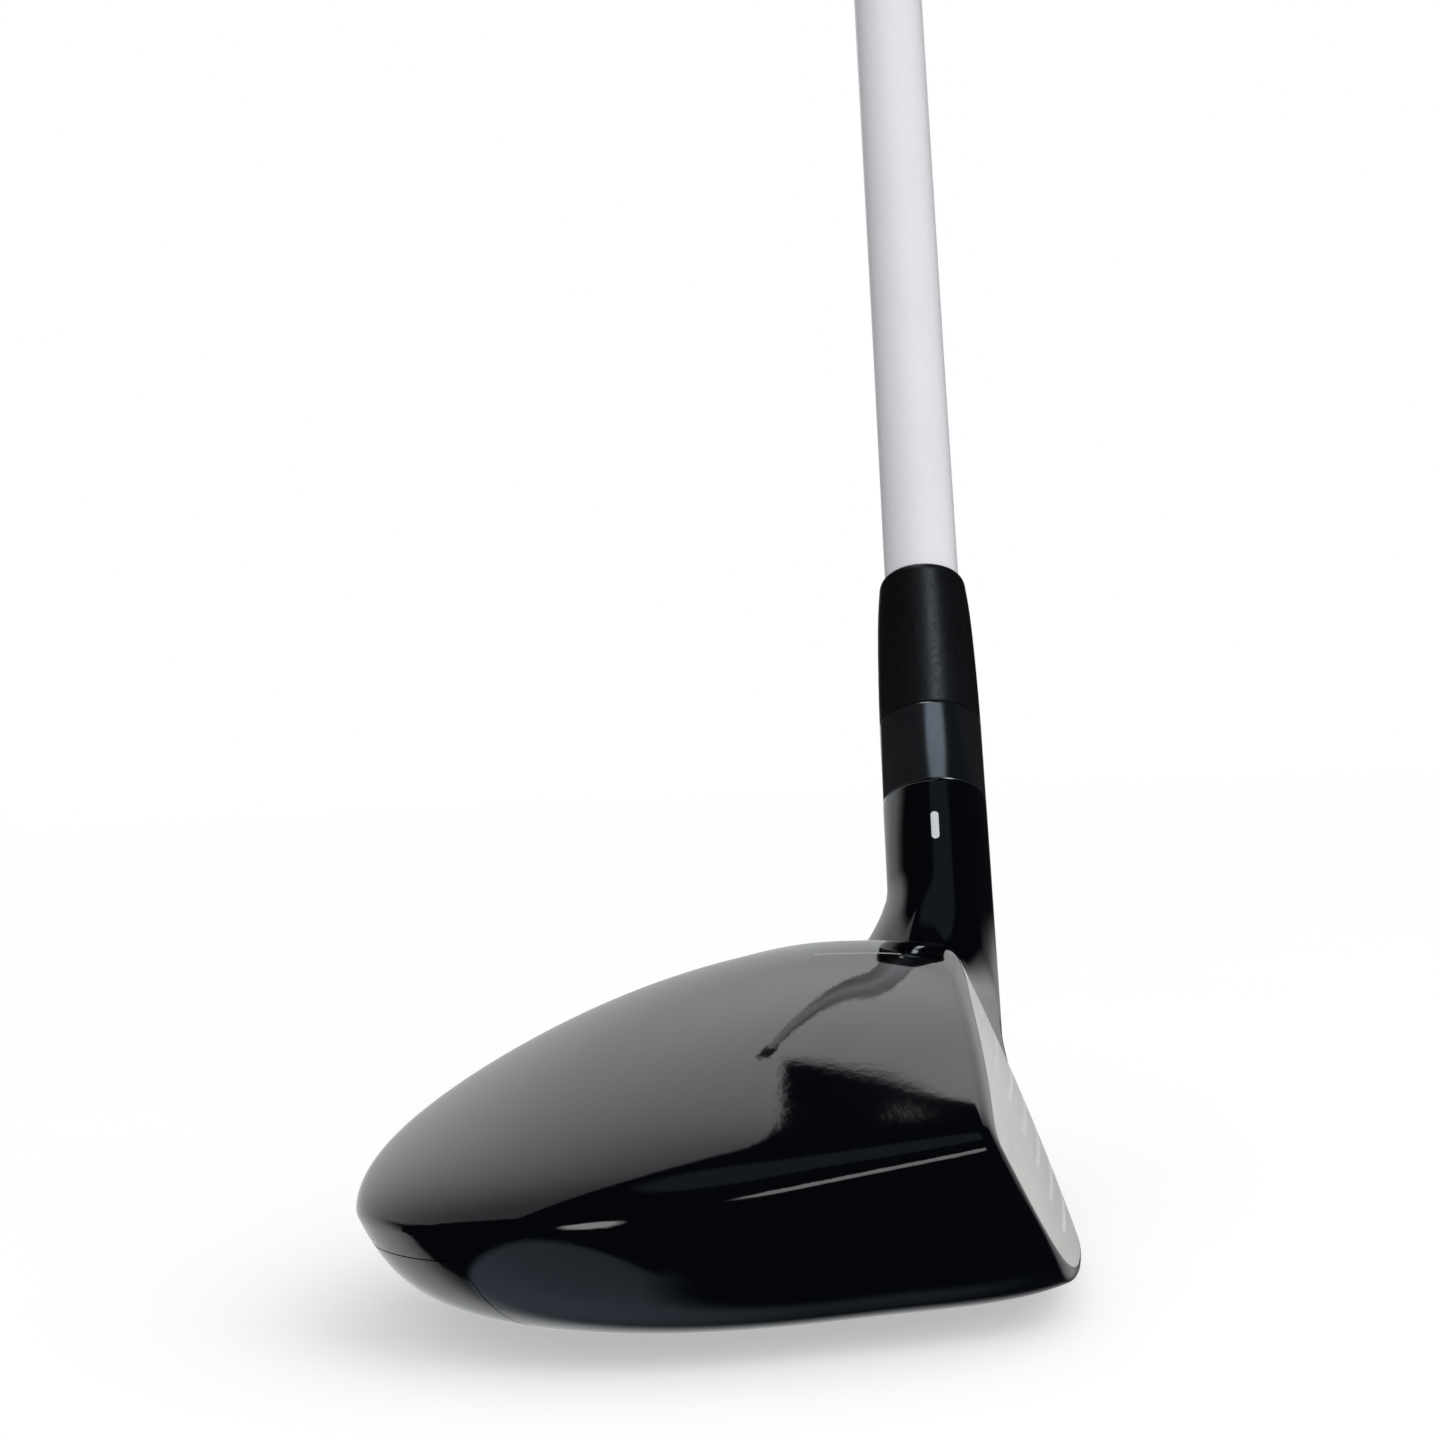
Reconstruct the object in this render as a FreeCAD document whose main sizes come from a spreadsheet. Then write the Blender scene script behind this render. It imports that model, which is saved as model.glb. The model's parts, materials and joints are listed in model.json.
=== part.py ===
import FreeCAD, Part
import Sketcher
import math
import os

# Adjustable fairway wood, right handed.
# Frame: origin at the centre of the sole's flat rest pad, +Z up, +X towards the
# heel (the shaft leans this way), -Y towards the target (face), +Y to the rear.
# Millimetres and degrees throughout. "Station" means distance along the hosel
# axis from the ground plane. Turned parts are drawn about their own Z axis.

Vector = FreeCAD.Vector
doc = FreeCAD.newDocument("FairwayWood")

# ------------------------------------------------------------------ sizes
TAPER_FORMULA = ("=mid_radius + (butt_radius - mid_radius) * (%s - mid_station)"
                 " / (butt_station - mid_station)")
SIZES = [
    # plan outline of the head: radius from the pad centre every 30 degrees, heel first
    ("rim_000", 47.117), ("rim_030", 51.585), ("rim_060", 47.117), ("rim_090", 51.287),
    ("rim_120", 59.653), ("rim_150", 58.452), ("rim_180", 47.500), ("rim_210", 45.547),
    ("rim_240", 38.436), ("rim_270", 40.601), ("rim_300", 47.279), ("rim_330", 48.386),
    # height of the crease between crown and skirt
    ("crease_heel", 19.411), ("crease_rear", 12.425), ("crease_toe", 19.362),
    ("crease_toe_front", 23.804), ("crease_front", 26.729),
    # crown and skirt curves: exponents and shares of the crease height or plan radius
    ("crown_height", 37.068), ("crown_fall", 2.093), ("crown_round", 1.787),
    ("skirt_power", 13.163), ("sole_camber", 0.267), ("pad_share", 0.18),
    # face: loft, bulge and roll
    ("face_loft", 20.706), ("face_bulge", 263.0), ("face_roll", 246.7),
    ("face_lead", -24.216), ("face_lead_z", 3.0), ("face_roll_z", 18.0),
    ("face_datum_x", 2.915), ("face_thick", 2.3), ("face_inset", 1.08),
    ("face_heel_end", 27.0), ("groove_depth", 0.35), ("groove_wide", 0.8),
    ("groove_pitch", 3.45), ("groove_top", 26.4), ("groove_toe", -25.0),
    ("groove_heel", 21.0), ("groove_count", 6),
    # shells and the ledges they sit on
    ("wall", 1.05), ("panel_thick", 0.9), ("panel_gap", 0.05),
    ("ledge_wide", 5.0), ("ledge_thick", 0.9), ("ledge_lap", 1.2),
    ("crown_front", -4.0), ("crown_share", 0.95), ("crown_floor", 15.5),
    ("crown_ledge_lift", 0.5), ("sole_share", 0.975), ("sole_inner", 0.46),
    ("sole_nose", 12.5), ("sole_from", 43.0), ("sole_to", 137.5), ("sole_roof", 13.4),
    ("sole_ledge_drop", 0.6), ("sole_ledge_share", 0.8),
    # hosel axis
    ("lie_angle", 58.198), ("hosel_x", 27.786), ("hosel_y", -11.447),
    ("hosel_radius", 6.682), ("tube_start", 12.5), ("hosel_top", 57.438),
    ("bore_radius", 5.70), ("port_radius", 4.60), ("seat_station", 13.50),
    # hosel screw, washer, seat and retainer
    ("screw_head_from", 8.0), ("screw_head_radius", 4.2), ("screw_head_tall", 4.45),
    ("screw_radius", 2.5), ("screw_tip", 24.5), ("screw_tip_chamfer", 0.5),
    ("screw_hex", 4.0), ("screw_hex_deep", 3.0), ("head_chamfer", 0.4),
    ("washer_radius", 4.35), ("washer_bore", 2.65), ("washer_thick", 1.0),
    ("washer_gap", 0.02), ("seat_radius", 5.68), ("seat_bore", 2.75), ("seat_tall", 3.0),
    ("seat_gap", 0.01), ("seat_chamfer", 0.6), ("retainer_radius", 5.55),
    ("retainer_bore", 2.55), ("retainer_tall", 1.8), ("retainer_gap", 0.1),
    # loft sleeve, index ring, o-ring, ferrule
    ("sleeve_from", 19.5), ("sleeve_radius", 5.65), ("sleeve_chamfer", 0.5),
    ("sleeve_thread", 2.55), ("sleeve_thread_end", 26.0), ("sleeve_floor", 31.0),
    ("sleeve_bore", 4.73), ("sleeve_shoulder", 6.05), ("sleeve_top", 71.0),
    ("ogroove_from", 28.0), ("ogroove_to", 29.0), ("ogroove_floor", 4.98),
    ("oring_major", 5.34), ("oring_minor", 0.33), ("joint_gap", 0.05),
    ("ring_radius", 6.65), ("ring_bore", 5.70), ("ring_top", 69.0), ("ring_chamfer", 0.25),
    ("ferrule_top", 91.1), ("ferrule_radius", 6.62), ("ferrule_lip", 5.08),
    ("ferrule_bore", 4.99), ("ferrule_sleeve_bore", 6.10),
    # shaft and the plug in its tip
    ("tip_from", 31.2), ("tip_radius", 4.70), ("tip_to", 74.0),
    ("tip_chamfer_wide", 0.2), ("tip_chamfer_tall", 0.4), ("low_radius", 4.956),
    ("low_from", 92.0), ("low_to", 131.0), ("mid_station", 171.0), ("mid_radius", 5.05),
    ("butt_station", 1048.0), ("butt_radius", 7.62), ("shaft_wall", 1.15),
    ("plug_from", 34.0), ("plug_tall", 14.0), ("plug_gap", 0.02), ("plug_chamfer", 0.3),
    # grip
    ("grip_from", 786.0), ("tape_from", 796.0), ("tape_thick", 0.15), ("grip_gap", 0.01),
    ("grip_mouth", 9.3), ("grip_low", 9.8), ("grip_high", 13.2), ("grip_end", 13.9),
    ("cap_radius", 14.9), ("cap_from", 1048.1), ("cap_top", 1054.0), ("cap_vent", 1.3),
    # rear sole weight, its boss, and the web that carries the boss
    ("weight_y", 33.0), ("weight_from", 1.9), ("weight_radius", 8.0), ("weight_tall", 4.0),
    ("weight_stud", 4.0), ("weight_top", 11.9), ("weight_tip_chamfer", 0.6),
    ("weight_hex", 5.0), ("weight_hex_deep", 3.0),
    ("boss_radius", 10.5), ("boss_top", 13.0), ("boss_recess", 8.1), ("boss_floor", 6.75),
    ("boss_thread", 4.05), ("weight_oring_major", 5.3), ("weight_oring_minor", 0.4),
    ("weight_oring_gap", 0.02),
    ("web_wide", 12.0), ("web_from", 8.0), ("web_long", 36.0), ("web_top", 3.6),
    # hot-melt pad
    ("melt_x", 14.0), ("melt_y", 1.0), ("melt_radius", 8.0), ("melt_thick", 1.4),
    # shaft radius where the tape and the grip start
    ("taper_at_tape", TAPER_FORMULA % "tape_from"),
    ("taper_at_grip", TAPER_FORMULA % "grip_from"),
]
ALIASES = {name for name, _ in SIZES}

sheet = doc.addObject("Spreadsheet::Sheet", "Sizes")
for row, (name, value) in enumerate(SIZES, start=1):
    sheet.set("A%d" % row, name)
    sheet.set("B%d" % row, str(value))
    sheet.setAlias("B%d" % row, name)
doc.recompute()


def size(name):
    return float(getattr(sheet, name))


# ------------------------------------------------------------------ size formulas
# A formula is text made of aliases and numbers joined by +, - and *, no spaces.
def evaluate(formula):
    total = 0.0
    for term in formula.replace("-", "+-").split("+"):
        product = 1.0
        for factor in term.split("*"):
            name = factor.lstrip("-")
            amount = size(name) if name in ALIASES else float(name)
            product *= -amount if factor.startswith("-") else amount
        total += product
    return total


def bound(formula):
    """The same formula as an expression on the spreadsheet."""
    for operator in "+-*":
        formula = formula.replace(operator, " %s " % operator)
    return " ".join("Sizes." + word if word in ALIASES else word for word in formula.split())


# ------------------------------------------------------------------ turned bodies
def new_body(label):
    body = doc.addObject("PartDesign::Body", label)
    body.Label = label
    return body


def new_sketch(body, name, role):
    """Sketch on the body's origin plane that has this role."""
    plane = next(item for item in body.Origin.OriginFeatures if item.Role == role)
    sketch = body.newObject("Sketcher::SketchObject", name)
    sketch.AttachmentSupport = (plane, [""])
    sketch.MapMode = "FlatFace"
    return sketch


def bind(sketch, formula, kind, *where):
    """Add a dimension driven by a size formula."""
    index = sketch.addConstraint(Sketcher.Constraint(kind, *where, evaluate(formula)))
    sketch.setExpression("Constraints[%d]" % index, bound(formula))


def revolve(body, sketch):
    turn = body.newObject("PartDesign::Revolution", body.Label + "_turn")
    turn.Profile = sketch
    turn.ReferenceAxis = (sketch, ["V_Axis"])
    turn.Angle = 360.0
    sketch.Visibility = False
    body.Tip = turn


def turned(label, points):
    """Closed line profile of (radius, height) formulas, turned about the Z axis."""
    body = new_body(label)
    sketch = new_sketch(body, label + "_profile", "XZ_Plane")
    corners = [Vector(evaluate(radius), evaluate(height), 0) for radius, height in points]
    count = len(corners)
    for i in range(count):
        sketch.addGeometry(Part.LineSegment(corners[i], corners[(i + 1) % count]), False)
    for i in range(count):
        sketch.addConstraint(Sketcher.Constraint("Coincident", i, 2, (i + 1) % count, 1))
    for i, (radius, height) in enumerate(points):
        if abs(corners[i].x) < 1e-9:
            sketch.addConstraint(Sketcher.Constraint("PointOnObject", i, 1, -2))
        else:
            bind(sketch, radius, "DistanceX", -1, 1, i, 1)
        bind(sketch, height, "DistanceY", -1, 1, i, 1)
    revolve(body, sketch)
    return body


def turned_ring(label, major, minor, height):
    """A round-section ring: a circle turned about the body's Z axis."""
    body = new_body(label)
    sketch = new_sketch(body, label + "_section", "XZ_Plane")
    centre = Vector(evaluate(major), evaluate(height), 0)
    sketch.addGeometry(Part.Circle(centre, Vector(0, 0, 1), evaluate(minor)), False)
    bind(sketch, minor, "Radius", 0)
    bind(sketch, major, "DistanceX", -1, 1, 0, 3)
    bind(sketch, height, "DistanceY", -1, 1, 0, 3)
    revolve(body, sketch)
    return body


def hex_socket(body, start, deep, across):
    """Hexagon socket cut upwards from height `start`; `across` is over the flats."""
    sketch = new_sketch(body, body.Label + "_hexagon", "XY_Plane")
    sketch.AttachmentOffset = FreeCAD.Placement(
        Vector(0, 0, evaluate(start)), FreeCAD.Rotation())
    sketch.setExpression("AttachmentOffset.Base.z", bound(start))
    radius = evaluate(across) / math.sqrt(3.0)
    turns = [math.radians(60 * i) for i in range(6)]
    corners = [Vector(radius * math.cos(turn), radius * math.sin(turn), 0) for turn in turns]
    for i in range(6):
        sketch.addGeometry(Part.LineSegment(corners[i], corners[(i + 1) % 6]), False)
    circle = sketch.addGeometry(Part.Circle(Vector(0, 0, 0), Vector(0, 0, 1), radius), True)
    sketch.addConstraint(Sketcher.Constraint("Coincident", circle, 3, -1, 1))
    for i in range(6):
        sketch.addConstraint(Sketcher.Constraint("Coincident", i, 2, (i + 1) % 6, 1))
        sketch.addConstraint(Sketcher.Constraint("PointOnObject", i, 1, circle))
    for i in range(1, 6):
        sketch.addConstraint(Sketcher.Constraint("Equal", 0, i))
    sketch.addConstraint(Sketcher.Constraint("PointOnObject", 0, 1, -1))
    index = sketch.addConstraint(Sketcher.Constraint("Radius", circle, radius))
    sketch.setExpression("Constraints[%d]" % index, bound(across) + " / sqrt(3)")
    pocket = body.newObject("PartDesign::Pocket", body.Label + "_socket")
    pocket.Profile = sketch
    pocket.Type = 0
    pocket.Length = evaluate(deep)
    pocket.setExpression("Length", bound(deep))
    # a pocket cuts against the sketch normal unless reversed
    pocket.Reversed = True
    sketch.Visibility = False
    body.Tip = pocket


PARTS = []


def keep_on_hosel(body):
    body.Placement = FreeCAD.Placement(
        Vector(size("hosel_x"), size("hosel_y"), 0),
        FreeCAD.Rotation(Vector(0, 1, 0), 90.0 - size("lie_angle")))
    body.setExpression("Placement.Base.x", "Sizes.hosel_x")
    body.setExpression("Placement.Base.y", "Sizes.hosel_y")
    body.setExpression("Placement.Rotation.Angle", "90 - Sizes.lie_angle")
    PARTS.append(body)


def keep_in_boss(body):
    body.Placement = FreeCAD.Placement(Vector(0, size("weight_y"), 0), FreeCAD.Rotation())
    body.setExpression("Placement.Base.y", "Sizes.weight_y")
    PARTS.append(body)


def hosel_part(label, points):
    keep_on_hosel(turned(label, points))


# ------------------------------------------------------------------ parts on the hosel axis
# Every profile below is a list of (radius, station).

# hosel screw: flat shoulder under the head, plain shank in place of the thread
screw = turned("hosel_screw", [
    ("0", "screw_head_from"),
    ("screw_head_radius-head_chamfer", "screw_head_from"),
    ("screw_head_radius", "screw_head_from+head_chamfer"),
    ("screw_head_radius", "screw_head_from+screw_head_tall"),
    ("screw_radius", "screw_head_from+screw_head_tall"),
    ("screw_radius", "screw_tip-screw_tip_chamfer"),
    ("screw_radius-screw_tip_chamfer", "screw_tip"),
    ("0", "screw_tip")])
hex_socket(screw, "screw_head_from", "screw_hex_deep", "screw_hex")
keep_on_hosel(screw)

hosel_part("screw_washer", [
    ("washer_bore", "seat_station-washer_thick-washer_gap"),
    ("washer_radius", "seat_station-washer_thick-washer_gap"),
    ("washer_radius", "seat_station-washer_gap"),
    ("washer_bore", "seat_station-washer_gap")])

hosel_part("hosel_seat", [
    ("seat_bore", "seat_station+seat_gap"),
    ("seat_radius", "seat_station+seat_gap"),
    ("seat_radius", "seat_station+seat_tall"),
    ("seat_bore+seat_chamfer", "seat_station+seat_tall"),
    ("seat_bore", "seat_station+seat_tall-seat_chamfer")])

hosel_part("screw_retainer", [
    ("retainer_bore", "seat_station+seat_tall+retainer_gap"),
    ("retainer_radius", "seat_station+seat_tall+retainer_gap"),
    ("retainer_radius", "seat_station+seat_tall+retainer_tall"),
    ("retainer_bore", "seat_station+seat_tall+retainer_tall")])

# loft sleeve: screw hole below, o-ring groove outside, shaft bore above
hosel_part("loft_sleeve", [
    ("sleeve_thread", "sleeve_from"),
    ("sleeve_radius-sleeve_chamfer", "sleeve_from"),
    ("sleeve_radius", "sleeve_from+sleeve_chamfer"),
    ("sleeve_radius", "ogroove_from"),
    ("ogroove_floor", "ogroove_from"),
    ("ogroove_floor", "ogroove_to"),
    ("sleeve_radius", "ogroove_to"),
    ("sleeve_radius", "ring_top+joint_gap"),
    ("sleeve_shoulder", "ring_top+joint_gap"),
    ("sleeve_shoulder", "sleeve_top"),
    ("sleeve_bore", "sleeve_top"),
    ("sleeve_bore", "sleeve_floor"),
    ("0", "sleeve_floor"),
    ("0", "sleeve_thread_end"),
    ("sleeve_thread", "sleeve_thread_end")])

keep_on_hosel(turned_ring("sleeve_o_ring", "oring_major", "oring_minor",
                          "0.5*ogroove_from+0.5*ogroove_to"))

hosel_part("index_ring", [
    ("ring_bore", "hosel_top+joint_gap"),
    ("ring_radius-ring_chamfer", "hosel_top+joint_gap"),
    ("ring_radius", "hosel_top+ring_chamfer+joint_gap"),
    ("ring_radius", "ring_top-ring_chamfer"),
    ("ring_radius-ring_chamfer", "ring_top"),
    ("ring_bore", "ring_top")])

# ferrule: the outside narrows in measured steps up to the lip
hosel_part("ferrule", [
    ("ferrule_sleeve_bore", "ring_top+joint_gap"),
    ("ferrule_radius", "ring_top+joint_gap"),
    ("ferrule_radius-0.02", "ring_top+3"),
    ("ferrule_radius-0.08", "ring_top+6"),
    ("ferrule_radius-0.18", "ring_top+10"),
    ("ferrule_radius-0.36", "ring_top+14.5"),
    ("ferrule_radius-0.55", "ring_top+17.5"),
    ("ferrule_radius-0.75", "ring_top+19.6"),
    ("ferrule_radius-0.98", "ring_top+21"),
    ("ferrule_lip+0.28", "ferrule_top-0.45"),
    ("ferrule_lip", "ferrule_top"),
    ("ferrule_bore", "ferrule_top"),
    ("ferrule_bore", "sleeve_top+joint_gap"),
    ("ferrule_sleeve_bore", "sleeve_top+joint_gap")])

# hollow shaft: parallel tip, parallel lower length, long taper to the butt
hosel_part("shaft", [
    ("tip_radius-shaft_wall", "tip_from"),
    ("tip_radius-tip_chamfer_wide", "tip_from"),
    ("tip_radius", "tip_from+tip_chamfer_tall"),
    ("tip_radius", "tip_to"),
    ("low_radius", "low_from"),
    ("low_radius", "low_to"),
    ("mid_radius", "mid_station"),
    ("butt_radius", "butt_station"),
    ("butt_radius-shaft_wall", "butt_station"),
    ("mid_radius-shaft_wall", "mid_station"),
    ("tip_radius-shaft_wall", "tip_to")])

hosel_part("tip_plug", [
    ("0", "plug_from"),
    ("tip_radius-shaft_wall-plug_gap-plug_chamfer", "plug_from"),
    ("tip_radius-shaft_wall-plug_gap", "plug_from+plug_chamfer"),
    ("tip_radius-shaft_wall-plug_gap", "plug_from+plug_tall"),
    ("0", "plug_from+plug_tall")])

# tape and grip follow the shaft's taper on the inside
hosel_part("grip_tape", [
    ("taper_at_tape+grip_gap", "tape_from"),
    ("taper_at_tape+grip_gap+tape_thick", "tape_from"),
    ("butt_radius+grip_gap+tape_thick", "butt_station"),
    ("butt_radius+grip_gap", "butt_station")])

hosel_part("grip", [
    ("taper_at_grip+2*grip_gap+tape_thick", "grip_from"),
    ("grip_mouth-0.5", "grip_from"),
    ("grip_mouth", "grip_from+0.8"),
    ("grip_mouth+0.1", "grip_from+5"),
    ("grip_low", "grip_from+12"),
    ("grip_high", "butt_station-45"),
    ("grip_end", "butt_station-8"),
    ("cap_radius-0.3", "butt_station-2"),
    ("cap_radius-0.1", "butt_station"),
    ("butt_radius+2*grip_gap+tape_thick", "butt_station")])

# domed cap with a vent hole
hosel_part("grip_cap", [
    ("cap_vent", "cap_from"),
    ("cap_radius-0.1", "cap_from"),
    ("cap_radius", "cap_from+1.2"),
    ("cap_radius-0.25", "cap_from+2.9"),
    ("cap_radius-1.3", "cap_from+4.4"),
    ("cap_radius-3.2", "cap_top-0.4"),
    ("cap_radius-7", "cap_top"),
    ("cap_vent", "cap_top")])

# ------------------------------------------------------------------ rear weight
# rear sole weight and its o-ring, upright in their boss: (radius, height)
weight = turned("rear_weight", [
    ("0", "weight_from"),
    ("weight_radius-head_chamfer", "weight_from"),
    ("weight_radius", "weight_from+head_chamfer"),
    ("weight_radius", "weight_from+weight_tall"),
    ("weight_stud", "weight_from+weight_tall"),
    ("weight_stud", "weight_top-weight_tip_chamfer"),
    ("weight_stud-weight_tip_chamfer", "weight_top"),
    ("0", "weight_top")])
hex_socket(weight, "weight_from", "weight_hex_deep", "weight_hex")
keep_in_boss(weight)
keep_in_boss(turned_ring("weight_o_ring", "weight_oring_major", "weight_oring_minor",
                         "weight_from+weight_tall+weight_oring_minor+weight_oring_gap"))


# ------------------------------------------------------------------ head surfaces
def solve(matrix, right):
    """Solve a linear system by elimination with row pivoting."""
    count = len(right)
    rows = [row[:] + [right[i]] for i, row in enumerate(matrix)]
    for i in range(count):
        pivot = max(range(i, count), key=lambda k: abs(rows[k][i]))
        rows[i], rows[pivot] = rows[pivot], rows[i]
        for j in range(i + 1, count):
            factor = rows[j][i] / rows[i][i]
            if factor:
                for k in range(i, count + 1):
                    rows[j][k] -= factor * rows[i][k]
    answer = [0.0] * count
    for i in range(count - 1, -1, -1):
        known = sum(rows[i][k] * answer[k] for k in range(i + 1, count))
        answer[i] = (rows[i][count] - known) / rows[i][i]
    return answer


def closed_spline(knots, values):
    """Periodic cubic spline over 360 degrees."""
    count = len(knots)
    gaps = [(knots[(i + 1) % count] - knots[i]) % 360.0 for i in range(count)]
    matrix = [[0.0] * count for _ in range(count)]
    right = [0.0] * count
    for i in range(count):
        before, after = gaps[i - 1], gaps[i]
        matrix[i][(i - 1) % count] += before
        matrix[i][i] += 2.0 * (before + after)
        matrix[i][(i + 1) % count] += after
        right[i] = 6.0 * ((values[(i + 1) % count] - values[i]) / after
                          - (values[i] - values[i - 1]) / before)
    bend = solve(matrix, right)

    def value_at(angle):
        angle = (angle - knots[0]) % 360.0 + knots[0]
        i = count - 1
        while i > 0 and knots[i] > angle:
            i -= 1
        j = (i + 1) % count
        ahead = (angle - knots[i]) / gaps[i]
        back = 1.0 - ahead
        cubic = (back ** 3 - back) * bend[i] + (ahead ** 3 - ahead) * bend[j]
        return back * values[i] + ahead * values[j] + cubic * gaps[i] * gaps[i] / 6.0
    return value_at


rim_radius = closed_spline([30.0 * i for i in range(12)],
                           [size("rim_%03d" % (30 * i)) for i in range(12)])
crease_height = closed_spline(
    [0.0, 90.0, 180.0, 225.0, 270.0],
    [size("crease_" + place) for place in ("heel", "rear", "toe", "toe_front", "front")])
CROWN_HEIGHT, CROWN_FALL = size("crown_height"), size("crown_fall")
CROWN_ROUND, SKIRT_POWER = size("crown_round"), size("skirt_power")
CAMBER, PAD = size("sole_camber"), size("pad_share")

# the head is lofted through rings at these shares of the plan radius
ANGLES = [7.5 * i for i in range(48)]
CROWN_RINGS = [1.0, 0.992, 0.975, 0.945, 0.9, 0.83, 0.74, 0.62, 0.48, 0.33, 0.18, 0.07]
SOLE_RINGS = [PAD, 0.3, 0.45, 0.6, 0.72, 0.81, 0.87, 0.91, 0.94, 0.965, 0.985, 1.0]

# steps for numeric surface normals; the slope is not taken right at the crease
SHARE_STEP = 2e-3
ANGLE_STEP = 0.5
LAST_SHARE = 0.9999


def head_point(side, share, angle):
    """Point of the outer surface at a share of the plan radius."""
    radius = rim_radius(angle) * share
    crease = crease_height(angle)
    if side == "crown":
        base = crease * share ** 2
        z = base + (CROWN_HEIGHT - base) * max(0.0, 1 - share ** CROWN_FALL) ** (1 / CROWN_ROUND)
    else:
        z = crease * ((1 - CAMBER) * share ** SKIRT_POWER
                      + CAMBER * max(0.0, share ** 2 - PAD ** 2) / (1 - PAD ** 2))
    turn = math.radians(angle)
    return Vector(radius * math.cos(turn), radius * math.sin(turn), z)


def head_normal(side, share, angle):
    """Outward unit normal of the outer surface."""
    near, far = max(0.0, share - SHARE_STEP), min(LAST_SHARE, share + SHARE_STEP)
    inside = min(share, LAST_SHARE)
    along = head_point(side, far, angle) - head_point(side, near, angle)
    around = (head_point(side, inside, angle + ANGLE_STEP)
              - head_point(side, inside, angle - ANGLE_STEP))
    normal = along.cross(around)
    normal.normalize()
    turn = math.radians(angle)
    outward = Vector(math.cos(turn), math.sin(turn), 1.0 if side == "crown" else -1.0)
    if normal.dot(outward) < 0:
        normal = normal * -1.0
    return normal


def ring_wire(side, share, inward):
    """Closed curve round the head, moved inwards by a distance."""
    spots = []
    for angle in ANGLES:
        point = head_point(side, share, angle)
        if share >= 1.0:
            normal = head_normal("crown", 1.0, angle) + head_normal("sole", 1.0, angle)
            normal.normalize()
        else:
            normal = head_normal(side, share, angle)
        spots.append(point - normal * inward)
    # the innermost rings are level, so that flat faces can close them
    if side == "crown" and share == CROWN_RINGS[-1]:
        level = sum(spot.z for spot in spots) / len(spots)
        spots = [Vector(spot.x, spot.y, level) for spot in spots]
    if side == "sole" and share == SOLE_RINGS[0]:
        outer = [head_point(side, share, angle) for angle in ANGLES]
        spots = [Vector(point.x, point.y, inward) for point in outer]
    curve = Part.BSplineCurve()
    curve.interpolate(Points=spots, PeriodicFlag=True)
    return Part.Wire([curve.toShape()])


def closing_face(shape, height):
    """Flat face in the closed edge for which `height` is least."""
    rims = [edge for edge in shape.Edges if edge.isClosed() and len(edge.Vertexes) == 1]
    return Part.Face(Part.Wire([min(rims, key=height)]))


def make_form(inward):
    upper = Part.makeLoft([ring_wire("crown", s, inward) for s in CROWN_RINGS], False, False)
    lower = Part.makeLoft([ring_wire("sole", s, inward) for s in SOLE_RINGS], False, False)
    top = closing_face(upper, lambda edge: -edge.BoundBox.ZMin)
    bottom = closing_face(lower, lambda edge: edge.BoundBox.ZMax)
    skin = Part.makeCompound([upper, lower, top, bottom])
    skin.sewShape(0.01)
    # sewing may leave loose faces instead of a shell, or a shell turned inside out
    solid = Part.Solid(skin.Shells[0] if skin.Shells else Part.Shell(skin.Faces))
    if solid.Volume < 0:
        solid.reverse()
    if not solid.isValid():
        solid.fix(0.001, 0.0001, 0.01)
    return solid


forms = {}


def form(inward):
    """The head's closed outer form, moved inwards by a distance; each is built once."""
    key = round(inward, 3)
    if key not in forms:
        forms[key] = make_form(inward)
    return forms[key]


# ------------------------------------------------------------------ hitting face
SLOPE = math.tan(math.radians(size("face_loft")))
BULGE, ROLL = size("face_bulge"), size("face_roll")


def face_y(x, z, inward):
    """Bulge and roll surface of the hitting face, moved inwards by a distance."""
    across = x - size("face_datum_x")
    above = z - size("face_roll_z")
    y = (size("face_lead") + (z - size("face_lead_z")) * SLOPE
         + across * across / (2 * BULGE) + above ** 2 / (2 * ROLL))
    grade = math.sqrt(1.0 + (across / BULGE) ** 2 + (SLOPE + above / ROLL) ** 2)
    return y + inward * grade


def behind_face(inward):
    """Everything behind the face surface, moved inwards by a distance."""
    grid = [[Vector(x, face_y(x, z, inward), z) for z in range(-20, 71, 10)]
            for x in range(-80, 81, 10)]
    surface = Part.BSplineSurface()
    surface.interpolate(grid)
    return surface.toShape().extrude(Vector(0, 220, 0))


# ------------------------------------------------------------------ panel outlines
# An outline is a list of runs of points: two points make a line, more make a curve.
def plan_prism(outline, low, high):
    edges = []
    for run in outline:
        if len(run) == 2:
            edges.append(Part.makeLine(run[0], run[1]))
        else:
            curve = Part.BSplineCurve()
            curve.interpolate(run)
            edges.append(curve.toShape())
    face = Part.Face(Part.Wire(edges))
    face.translate(Vector(0, 0, low))
    return face.extrude(Vector(0, 0, high - low))


def plan_point(share, angle, inset):
    turn = math.radians(angle)
    radius = rim_radius(angle) * share - inset
    return Vector(radius * math.cos(turn), radius * math.sin(turn), 0)


def crown_plan(inset):
    """Behind a straight front line, inside a share of the rim."""
    share, front = size("crown_share"), size("crown_front") + inset

    def is_behind(angle):
        return plan_point(share, angle, inset).y > front

    def crossing(low, high):
        """Angle at which the rim meets the front line, by bisection."""
        for _ in range(60):
            middle = 0.5 * (low + high)
            if is_behind(middle) == is_behind(low):
                low = middle
            else:
                high = middle
        return 0.5 * (low + high)

    start = crossing(20.0, -40.0)
    end = crossing(160.0, 220.0)
    steps = 30
    arc = [plan_point(share, start + (end - start) * i / steps, inset)
           for i in range(steps + 1)]
    return [arc, [arc[-1], arc[0]]]


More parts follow.
